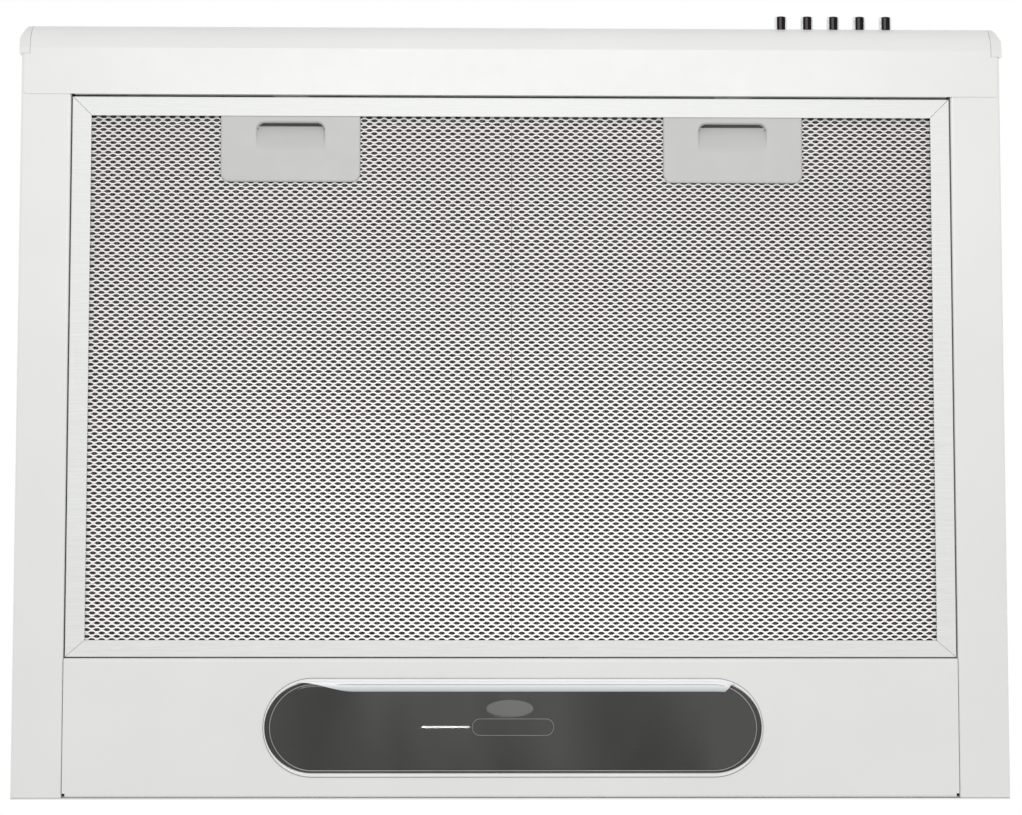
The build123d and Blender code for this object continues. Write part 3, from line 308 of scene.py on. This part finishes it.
def expanded_mesh(name, x_range, y_range, z, windows, slot, body):
    """Expanded metal: tilted strands that wander between two rows of holes and meet at the bonds."""
    step = PERIOD_X / SAMPLES
    x = np.arange(x_range[0], x_range[1] + step / 2, step)
    strand_count = int((y_range[1] - y_range[0]) / (PERIOD_Y / 2))
    points = []
    faces = []
    for strand in range(strand_count):
        front_y = y_range[0] + strand * PERIOD_Y / 2
        phase = (PERIOD_X / 2) * (strand % 2)
        to_front_hole = (x - phase + PERIOD_X / 2) % PERIOD_X - PERIOD_X / 2
        to_rear_hole = (x - phase) % PERIOD_X - PERIOD_X / 2
        sway = STRAND_RISE * np.cos(2 * np.pi * (x - phase) / PERIOD_X)
        front = np.stack([x, front_y + hole_edge(to_front_hole), z - sway + STRAND_RISE], 1)
        rear = np.stack([x, front_y + PERIOD_Y / 2 - hole_edge(to_rear_hole), z - sway - STRAND_RISE], 1)
        start = len(points) * len(x)
        points += [front, rear]
        for i in range(len(x) - 1):
            centre = (x[i] + step / 2, front_y + PERIOD_Y / 4)
            if any(w[0] < centre[0] < w[1] and w[2] < centre[1] < w[3] for w in windows):
                continue
            faces.append((start + i, start + len(x) + i, start + len(x) + i + 1, start + i + 1))
    return new_piece(name, np.concatenate(points), faces, slot, body)


mesh_low, mesh_high = box_mm("filter_mesh_outer")
plate_low, plate_high = box_mm("latch_handle_right")
LATCH_X = (plate_low[0] + plate_high[0]) / 2
CUP_WINDOW = (24.0, -262.5, -231.0)  # half width, front and rear of the gap for a latch's cup
windows = [(side * LATCH_X - CUP_WINDOW[0], side * LATCH_X + CUP_WINDOW[0], CUP_WINDOW[1], CUP_WINDOW[2])
           for side in (-1, 1)]
mesh_z = mesh_low[2] + 2 * STRAND_RISE
mesh_x = (mesh_low[0] + MESH_INSET, mesh_high[0] - MESH_INSET)
mesh_y = (mesh_low[1] + MESH_INSET, mesh_high[1] - MESH_INSET)
outer_left = expanded_mesh("filter_mesh_outer_left", (mesh_x[0], 0), mesh_y, mesh_z, windows,
                           "mesh_aluminium", "filter")
outer_right = expanded_mesh("filter_mesh_outer_right", (0, mesh_x[1]), mesh_y, mesh_z, windows,
                            "mesh_aluminium", "filter")
for piece in (outer_left, outer_right):
    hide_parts("filter_mesh_outer")

inner_low, inner_high = box_mm("filter_mesh_inner")
inner_y = (inner_low[1] + MESH_INSET, inner_high[1] - MESH_INSET)
inner_z = inner_high[2] - 2 * STRAND_RISE
inner_left = expanded_mesh("filter_mesh_inner_left", (inner_low[0] + MESH_INSET, 0), inner_y, inner_z, (),
                           "mesh_aluminium", "filter")
inner_right = expanded_mesh("filter_mesh_inner_right", (0, inner_high[0] - MESH_INSET), inner_y, inner_z, (),
                            "mesh_aluminium", "filter")
for piece in (inner_left, inner_right):
    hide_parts("filter_mesh_inner")


def sheet_with_windows(name, x_range, y_range, z, windows, slot, body):
    """A thin sheet with rectangular windows, as a grid of cells with the windows' cells left out."""
    x = sorted({*x_range, *(edge for w in windows for edge in w[:2])})
    y = sorted({*y_range, *(edge for w in windows for edge in w[2:])})
    points = [(px, py, z) for py in y for px in x]
    faces = []
    for r in range(len(y) - 1):
        for c in range(len(x) - 1):
            middle = ((x[c] + x[c + 1]) / 2, (y[r] + y[r + 1]) / 2)
            if not any(w[0] < middle[0] < w[1] and w[2] < middle[1] < w[3] for w in windows):
                a = r * len(x) + c
                faces.append((a, a + len(x), a + len(x) + 1, a + 1))
    return new_piece(name, points, faces, slot, body, smooth=False)


# A dark sheet at the filter's core: painted shade of the filter's inside.
core_skin = sheet_with_windows("filter_core_skin", mesh_x, mesh_y, mesh_high[2] - 0.05, windows,
                               "knitted_core", "filter")
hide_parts("filter_mesh_outer")

# ---------------------------------------------------------------- latch handles
RECESS_HALF_X = 21.1
RECESS_FRONT_Y = -260.1
RECESS_REAR_Y = -241.5
RECESS_DEPTH = 6.4
RECESS_CORNER = 5.2
EDGE_ROUND = 0.55
UNDERCUT = 0.9
SHADOW_FRONT_REACH = 3.0  # painted shadow along the recess's front wall
PLATE_SKIN = 1.2
GRID_MM = 0.5
PLATE_START = 8.0  # from the frame's front edge to the plate's front edge, hidden behind the frame
PLATE_CORNER = 5.5
ROLL_WIDTH = 0.9  # the plate's edges roll back over this width
ROLL_DEPTH = 0.6
SHADOW_SIDE_WIDTH = 1.3  # width of the painted shadow along the recess's side walls
SHADOW_MIN_DEPTH = 0.9
SHADOW_SIDE_SHARE = 0.72  # the sides carry painted shadow beyond this share of the recess's length
RAMP_POWER = 1.6
RECESS_OVERRUN = 3.0  # how far the recess's round outline runs on behind its rear edge


def recess_depth(x, y):
    """Depth of the finger recess: steep round wall at the front and sides, ramp to nothing at the rear."""
    centre_y = (RECESS_FRONT_Y + RECESS_REAR_Y) / 2 + RECESS_OVERRUN
    half_y = (RECESS_REAR_Y - RECESS_FRONT_Y) / 2 + RECESS_OVERRUN
    from_x = np.abs(x) - (RECESS_HALF_X - RECESS_CORNER)
    from_y = np.abs(y - centre_y) - (half_y - RECESS_CORNER)
    past_corner = np.hypot(np.maximum(from_x, 0), np.maximum(from_y, 0))
    outside = past_corner + np.minimum(np.maximum(from_x, from_y), 0)
    inside = RECESS_CORNER - outside
    wall = np.clip(inside / (2 * EDGE_ROUND), 0, 1)
    wall = wall * wall * (3 - 2 * wall)
    along = np.clip((RECESS_REAR_Y - y) / (RECESS_REAR_Y - RECESS_FRONT_Y), 0, 1)
    return RECESS_DEPTH * wall * along**RAMP_POWER


def latch_handle(name, node, body):
    """The plate with its finger recess: a skin in front, a skin at its back and a rim between them."""
    low, high = box_mm(node)
    centre_x = (low[0] + high[0]) / 2
    front_y = FRAME_FRONT_Y + PLATE_START
    x = np.linspace(low[0], high[0], int((high[0] - low[0]) / GRID_MM) + 1)
    y = np.linspace(front_y, high[1], int((high[1] - front_y) / GRID_MM) + 1)
    grid_x, grid_y = np.meshgrid(x, y)
    # Round the two rear corners by drawing the outermost rows in, and roll the edges back.
    half_x = (high[0] - low[0]) / 2
    near_rear = np.clip(grid_y - (high[1] - PLATE_CORNER), 0, PLATE_CORNER)
    half_here = half_x - PLATE_CORNER + np.sqrt(np.maximum(PLATE_CORNER**2 - near_rear**2, 0))
    grid_x = centre_x + (grid_x - centre_x) * half_here / half_x
    from_edge = np.minimum(half_here - np.abs(grid_x - centre_x), high[1] - grid_y)
    roll = ROLL_DEPTH * np.clip(1 - from_edge / ROLL_WIDTH, 0, 1) ** 2
    depth = recess_depth(grid_x - centre_x, grid_y)
    flat_y = grid_y
    grid_y = grid_y - UNDERCUT * (depth / RECESS_DEPTH) ** 2
    skin = np.stack([grid_x, grid_y, low[2] + roll + depth], -1).reshape(-1, 3)
    back = np.stack([grid_x, grid_y, low[2] + PLATE_SKIN + depth], -1).reshape(-1, 3)
    rows, columns = grid_x.shape
    faces = []
    total = rows * columns
    for r in range(rows - 1):
        for c in range(columns - 1):
            a = r * columns + c
            faces.append((a, a + columns, a + columns + 1, a + 1))
            faces.append((total + a, total + a + 1, total + a + columns + 1, total + a + columns))
    rim = list(range(columns)) + [r * columns + columns - 1 for r in range(1, rows)]
    rim += [(rows - 1) * columns + c for c in range(columns - 2, -1, -1)]
    rim += [r * columns for r in range(rows - 2, 0, -1)]
    for i, a in enumerate(rim):
        b = rim[(i + 1) % len(rim)]
        faces.append((a, b, total + b, total + a))
    piece = new_piece(name, np.concatenate([skin, back]), faces, "latch_plastic", body)
    # Painted shadow: a dark second material on the recess's front wall and the front of its sides.
    piece.data.materials.append(MATERIALS["recess_painted_shadow"])
    along = (RECESS_REAR_Y - flat_y) / (RECESS_REAR_Y - RECESS_FRONT_Y)
    at_front = flat_y < RECESS_FRONT_Y + SHADOW_FRONT_REACH
    at_side = (np.abs(grid_x - centre_x) > RECESS_HALF_X - SHADOW_SIDE_WIDTH) & (along > SHADOW_SIDE_SHARE)
    in_painted_shadow = ((depth > SHADOW_MIN_DEPTH) & (at_front | at_side)).ravel()
    for polygon in piece.data.polygons:
        if all(corner < total and in_painted_shadow[corner] for corner in polygon.vertices):
            polygon.material_index = 1
    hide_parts(node)
    return piece


def rounded_block(name, low, high, radius, slot, body):
    """A block with rounded edges, between two corners in millimetres."""
    mesh = bpy.data.meshes.new(name)
    shape = bmesh.new()
    bmesh.ops.create_cube(shape, size=1)
    size = (np.array(high) - np.array(low)) * MM
    centre = (np.array(high) + np.array(low)) / 2 * MM
    bmesh.ops.scale(shape, vec=size, verts=shape.verts)
    bmesh.ops.translate(shape, vec=centre, verts=shape.verts)
    edges = list(shape.edges)
    bmesh.ops.bevel(shape, geom=edges, offset=radius * MM, segments=3, profile=0.5, affect="EDGES")
    shape.to_mesh(mesh)
    shape.free()
    mesh.materials.append(MATERIALS[slot])
    for polygon in mesh.polygons:
        polygon.use_smooth = True
    piece = bpy.data.objects.new(name, mesh)
    bpy.context.scene.collection.objects.link(piece)
    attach(piece, body)
    return piece


FRAME_FRONT_Y = box_mm("filter_frame_front")[0][1]
TONGUE_HALF_X = 11.0
TONGUE_Z = (6.4, 8.4)  # lowest and highest side above the fascia's underside
for side in ("left", "right"):
    node = f"latch_handle_{side}"
    latch_handle(f"latch_plate_{side}", node, f"latch_{side}")
    low, high = box_mm(node)
    centre_x = (low[0] + high[0]) / 2
    bottom_z = box_mm("front_fascia")[0][2]
    tongue_low = (centre_x - TONGUE_HALF_X, low[1], bottom_z + TONGUE_Z[0])
    tongue_high = (centre_x + TONGUE_HALF_X, RECESS_FRONT_Y - 0.2, bottom_z + TONGUE_Z[1])
    rounded_block(f"latch_tongue_{side}", tongue_low, tongue_high, 0.5, "latch_plastic", f"latch_{side}")

# ---------------------------------------------------------------- lamp lens
lens_low, lens_high = box_mm("lamp_lens")
LENS_SHORTER = 1.8  # the rim's left end stops this far inside the part's own end
LENS_LENGTH = lens_high[0] - lens_low[0] - LENS_SHORTER
LENS_WIDTH = lens_high[1] - lens_low[1]
LENS_CENTRE = (lens_low + lens_high) / 2 + np.array([LENS_SHORTER / 2, 0, 0])
PANEL_Z = box_mm("lamp_panel")[0][2]
ROUND_STEPS = 40
LENS_FLOOR_Z = PANEL_Z - 3.4
LENS_SKIN = 1.6
RIM_HEIGHT = 1.9
BEAD_RADIUS = 0.32


def stadium_turns():
    """How far each point of the stadium faces the wall: 1 at the rear run, -1 at the front run."""
    turns = np.linspace(-np.pi / 2, np.pi / 2, ROUND_STEPS)
    return np.concatenate([np.sin(turns), -np.sin(turns)])


def stadium_ring(inset, z):
    """A stadium whose inset and height may differ from point to point."""
    radius = LENS_WIDTH / 2 - inset
    reach = LENS_LENGTH / 2 - LENS_WIDTH / 2
    turns = np.linspace(-np.pi / 2, np.pi / 2, ROUND_STEPS)
    side = np.repeat([1, -1], ROUND_STEPS)
    cosine = np.tile(np.cos(turns), 2)
    sine = np.concatenate([np.sin(turns), -np.sin(turns)])
    x = side * (reach + radius * cosine)
    y = radius * sine
    return np.column_stack([x + LENS_CENTRE[0], y + LENS_CENTRE[1], z + np.zeros(len(x))])


def ring_faces(loops, count, closed):
    """Quads between loops of equal count, with flat ends, or joined back to the first loop if closed."""
    faces = []
    for k in range(loops if closed else loops - 1):
        low, high = k * count, (k + 1) % loops * count
        for i in range(count):
            j = (i + 1) % count
            faces.append((low + i, low + j, high + j, high + i))
    if not closed:
        faces.append(tuple(range(count))[::-1])
        faces.append(tuple(range((loops - 1) * count, loops * count)))
    return faces


towards_wall = stadium_turns()
bead_width = 1.0 + 1.7 * np.clip(towards_wall, 0, 1) ** 2 + 1.6 * np.clip(-towards_wall, 0, 1) ** 2
groove_width = 0.6 + 1.9 * (1 - np.abs(towards_wall) ** 3)


def lens_rim():
    """The bright bead that stands on the panel, with a rounded section."""
    arc = np.linspace(0, np.pi, 9)
    loops = [stadium_ring(bead_width / 2 * (1 - np.cos(a)), PANEL_Z - 0.05 - RIM_HEIGHT * np.sin(a))
             for a in arc]
    loops += [stadium_ring(bead_width, PANEL_Z + 0.5), stadium_ring(0 * bead_width, PANEL_Z - 0.02)]
    return np.concatenate(loops), ring_faces(len(loops), len(towards_wall), closed=True)


def lens_groove():
    """The groove inside the bead, painted dark as shadow where the cup's wall drops past the panel's edge."""
    across = np.linspace(0, 1, 5)
    inset = {t: bead_width - 0.1 + t * (groove_width + 0.3) for t in across}
    loops = [stadium_ring(inset[t], PANEL_Z - 1.2 - 0.9 * t + 0 * bead_width) for t in across]
    loops += [stadium_ring(inset[t], PANEL_Z - 0.4 - 0.9 * t + 0 * bead_width) for t in across[::-1]]
    return np.concatenate(loops), ring_faces(len(loops), len(towards_wall), closed=True)


def lens_shadow_line():
    """A thin grey line between the bead and the panel: painted shadow where the bead meets the panel."""
    arc = np.linspace(0, 2 * np.pi, 8, endpoint=False)
    loops = [stadium_ring(-0.02 - 0.28 * np.cos(a) + 0 * bead_width, PANEL_Z - 0.05 - 0.2 * np.sin(a))
             for a in arc]
    return np.concatenate(loops), ring_faces(len(loops), len(towards_wall), closed=True)


def lens_window():
    """The smoky cup: walls that rise into the panel, a rounded shoulder and a nearly flat floor."""
    wall = bead_width + groove_width
    outside = [(wall, PANEL_Z + 0.6), (wall, LENS_FLOOR_Z + 1.6), (wall + 0.35, LENS_FLOOR_Z + 0.75),
               (wall + 0.9, LENS_FLOOR_Z + 0.3), (wall + 2.2, LENS_FLOOR_Z + 0.1), (wall + 6, LENS_FLOOR_Z),
               (wall + 7, LENS_FLOOR_Z), (wall + 14, LENS_FLOOR_Z)]
    inside = [(inset + (LENS_SKIN if k < 2 else 0.9 if k < 4 else 0), z + LENS_SKIN if k else z)
              for k, (inset, z) in enumerate(outside)]
    loops = [stadium_ring(inset, z) for inset, z in outside[::-1] + inside]
    return np.concatenate(loops), ring_faces(len(loops), len(towards_wall), closed=False)


rim = new_piece("lamp_lens_rim", *lens_rim(), "clear_plastic", "lens")
rim.data.materials[0] = MATERIALS["clear_rim"]
groove = new_piece("lamp_lens_groove", *lens_groove(), "clear_plastic", "lens")
groove.data.materials[0] = MATERIALS["groove_painted_shadow"]
# Painted shadow: a thin grey ring round the lens.
shadow_line = new_piece("lamp_lens_shadow_line", *lens_shadow_line(), "grey_plastic", "lens")
window = new_piece("lamp_lens_window", *lens_window(), "clear_plastic", "lens")
for piece in (rim, groove, shadow_line, window):
    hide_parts("lamp_lens")


def pad_outline():
    """A fine raised line round a blank rounded pad on the lens, painted grey as its highlight."""
    half_x, half_y, corner, line = 24.3, 4.9, 4.6, 0.13
    turns = np.linspace(0, 2 * np.pi, 48, endpoint=False)
    centre_x = np.where(np.cos(turns) > 0, half_x - corner, corner - half_x)
    centre_y = np.where(np.sin(turns) > 0, half_y - corner, corner - half_y)
    loops = []
    for spin in np.linspace(0, 2 * np.pi, 8, endpoint=False):
        radius = corner + line * np.cos(spin)
        x = centre_x + radius * np.cos(turns) + LENS_CENTRE[0] - 0.25
        y = centre_y + radius * np.sin(turns) + LENS_CENTRE[1] - 0.4
        loops.append(np.column_stack([x, y, LENS_FLOOR_Z + line * np.sin(spin) + np.zeros(len(x))]))
    return np.concatenate(loops), ring_faces(len(loops), len(turns), closed=True)


pad = new_piece("lamp_lens_pad", *pad_outline(), "clear_plastic", "lens")
pad.data.materials[0] = MATERIALS["bead_painted_highlight"]
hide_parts("lamp_lens")


# These shape the strip that carries the painted reflection on the lens's front shoulder.
SHOULDER_PAST_LEFT, SHOULDER_PAST_RIGHT = 9, 12  # how far it runs round each end of the stadium
SHOULDER_THINS_LEFT, SHOULDER_THINS_RIGHT = 34, 6
SHOULDER_THIN = 0.6
SHOULDER_SWELL = 5.6
SHOULDER_RISE = 1.35


def painted_reflection_strip():
    """A strip of painted reflection on the lens's front shoulder: it thins slowly at the left and ends
    bluntly at the right.
    """
    radius = LENS_WIDTH / 2
    reach = LENS_LENGTH / 2 - radius
    left, right = LENS_CENTRE[0] - reach - SHOULDER_PAST_LEFT, LENS_CENTRE[0] + reach + SHOULDER_PAST_RIGHT
    x = np.linspace(left, right, 141)
    run_out = np.minimum(np.clip((x - x[0]) / SHOULDER_THINS_LEFT, 0, 1),
                         np.clip((x[-1] - x) / SHOULDER_THINS_RIGHT, 0, 1))
    width = SHOULDER_THIN + SHOULDER_SWELL * run_out * run_out * (3 - 2 * run_out)
    round_the_end = np.maximum(np.abs(x - LENS_CENTRE[0]) - reach, 0)
    drop = radius - np.sqrt(radius**2 - round_the_end**2)
    start = SHOULDER_INSET + drop
    width = width - 0.7 * drop
    front_y = LENS_CENTRE[1] - radius + start
    rows = []
    for t in np.linspace(0, 1, 7):
        rise = SHOULDER_RISE * (1 - t) ** 4
        rows.append(np.column_stack([x, front_y + t * width, LENS_FLOOR_Z - 0.04 + rise + 0 * x]))
    rows.append(np.column_stack([x, front_y + width, LENS_FLOOR_Z + 0.5 + 0 * x]))
    rows.append(np.column_stack([x, front_y, LENS_FLOOR_Z + 2.2 + 0 * x]))
    faces = []
    count = len(x)
    for k in range(len(rows)):
        low, high = k * count, (k + 1) % len(rows) * count
        for i in range(count - 1):
            faces.append((low + i, low + i + 1, high + i + 1, high + i))
    faces.append(tuple(k * count for k in range(len(rows))))
    faces.append(tuple(k * count + count - 1 for k in range(len(rows)))[::-1])
    return np.concatenate(rows), faces


# Painted reflection: a bright strip along the lens's front shoulder.
reflection_strip = new_piece("lamp_lens_painted_reflection", *painted_reflection_strip(), "clear_plastic", "lens")
reflection_strip.data.materials[0] = MATERIALS["shoulder_painted_reflection"]
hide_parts("lamp_lens")


def inner_bead():
    """A fine bead where the walls of the cup turn into its floor, painted grey as a highlight."""
    arc = np.linspace(0, 2 * np.pi, 8, endpoint=False)
    middle = bead_width + groove_width + 0.55
    loops = [stadium_ring(middle + BEAD_RADIUS * np.cos(a), LENS_FLOOR_Z + 0.42 - BEAD_RADIUS * np.sin(a))
             for a in arc]
    return np.concatenate(loops), ring_faces(len(loops), len(towards_wall), closed=True)


bead = new_piece("lamp_lens_bead", *inner_bead(), "clear_plastic", "lens")
bead.data.materials[0] = MATERIALS["bead_painted_highlight"]
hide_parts("lamp_lens")

# ---------------------------------------------------------------- floor, light and camera
FLOOR_Z = -6.0
FLOOR_SIZE = 60


def stage_floor():
    """A plain pale floor under the hood."""
    bpy.ops.mesh.primitive_plane_add(size=FLOOR_SIZE, location=(0, 0, FLOOR_Z))
    floor = bpy.context.object
    floor.name = "floor"
    material, tree, shader = new_material("floor_pale")
    shader.inputs["Base Color"].default_value = (0.71, 0.71, 0.70, 1)
    shader.inputs["Roughness"].default_value = 0.7
    floor.data.materials.append(material)


def area_light(name, place, target, size, power, size_y=None, shape="RECTANGLE"):
    """A flat light at a place, turned to a target and unseen by the camera."""
    data = bpy.data.lights.new(name, "AREA")
    data.shape = shape
    data.size = size
    data.size_y = size_y or size
    data.energy = power
    light = bpy.data.objects.new(name, data)
    light.location = place
    light.visible_camera = False
    light.rotation_euler = (Vector(target) - Vector(place)).to_track_quat("-Z", "Y").to_euler()
    bpy.context.scene.collection.objects.link(light)


FRONT_SHADE = 0.60  # strength of the surroundings straight in front
SHADE_FROM_Y, SHADE_TO_Y = -0.9, -0.3  # direction in which the grey turns to white


def world_light():
    """White surroundings that turn to a soft grey towards the front."""
    world = bpy.data.worlds.new("studio")
    world.use_nodes = True
    tree = world.node_tree
    place = tree.nodes.new("ShaderNodeTexCoord")
    parts = tree.nodes.new("ShaderNodeSeparateXYZ")
    spread = tree.nodes.new("ShaderNodeMapRange")
    tree.links.new(place.outputs["Generated"], parts.inputs["Vector"])
    tree.links.new(parts.outputs["Y"], spread.inputs["Value"])
    spread.interpolation_type = "SMOOTHSTEP"
    spread.inputs["From Min"].default_value = SHADE_FROM_Y
    spread.inputs["From Max"].default_value = SHADE_TO_Y
    spread.inputs["To Min"].default_value = FRONT_SHADE
    spread.inputs["To Max"].default_value = 1.0
    tree.links.new(spread.outputs["Result"], tree.nodes["Background"].inputs["Strength"])
    tree.nodes["Background"].inputs["Color"].default_value = (1, 1, 1, 1)
    bpy.context.scene.world = world


# The camera looks up at the underside from below, leaning a little towards the front.
CAMERA_LENS = 98.6
CAMERA_TURNS = (-0.0886633, -0.0176156, 0.0018711)  # about X, Y and Z, from straight up
AIM_MM = (0.63, -232.13, 1712.63)  # front edge's middle seen from the camera: right, down, ahead
FRONT_EDGE_MM = (0.0, -318.0, -130.0)


def photo_camera():
    """The camera under the hood, with the front edge at the top of the picture."""
    turn_x, turn_y, turn_z = CAMERA_TURNS
    about_z, about_y, about_x = (Matrix.Rotation(turn_z, 3, "Z"), Matrix.Rotation(turn_y, 3, "Y"),
                                 Matrix.Rotation(turn_x, 3, "X"))
    turned = about_z @ about_y @ about_x
    place = (Vector(FRONT_EDGE_MM) - turned.transposed() @ Vector(AIM_MM)) * MM
    right, down, ahead = turned
    data = bpy.data.cameras.new("camera")
    data.lens = CAMERA_LENS
    data.sensor_width = 36.0
    data.clip_end = 50.0
    camera = bpy.data.objects.new("camera", data)
    axes = Matrix((right, -down, -ahead)).transposed().to_4x4()
    camera.matrix_world = Matrix.Translation(place) @ axes
    bpy.context.scene.collection.objects.link(camera)
    bpy.context.scene.camera = camera


UNDERSIDE_Z = -0.13
LAMP_Z = -1.815  # two small lamps that the lens mirrors
# The round one is a soft glow: flat ellipses one inside another, each with the same power.
GLOW_LIGHTS = 5
GLOW_WIDTH = 0.056
GLOW_STEP = 0.009
GLOW_FLATNESS = 0.36
GLOW_POWER = 0.0062
GLOW_PLACE = (0.028, 0.127)

stage_floor()
world_light()
area_light("front_softbox", (0, -0.46, -1.10), (0, -0.26, UNDERSIDE_Z), 0.75, 3.0, 0.35)
area_light("strip_lamp", (-0.049, 0.149, LAMP_Z), (-0.049, 0.149, UNDERSIDE_Z), 0.057, 0.009, 0.0017)
for k in range(GLOW_LIGHTS):
    width = GLOW_WIDTH - GLOW_STEP * k
    area_light(f"round_lamp_{k}", (*GLOW_PLACE, LAMP_Z), (*GLOW_PLACE, UNDERSIDE_Z), width, GLOW_POWER,
               width * GLOW_FLATNESS, "ELLIPSE")
photo_camera()
bpy.context.scene.view_settings.view_transform = "Standard"
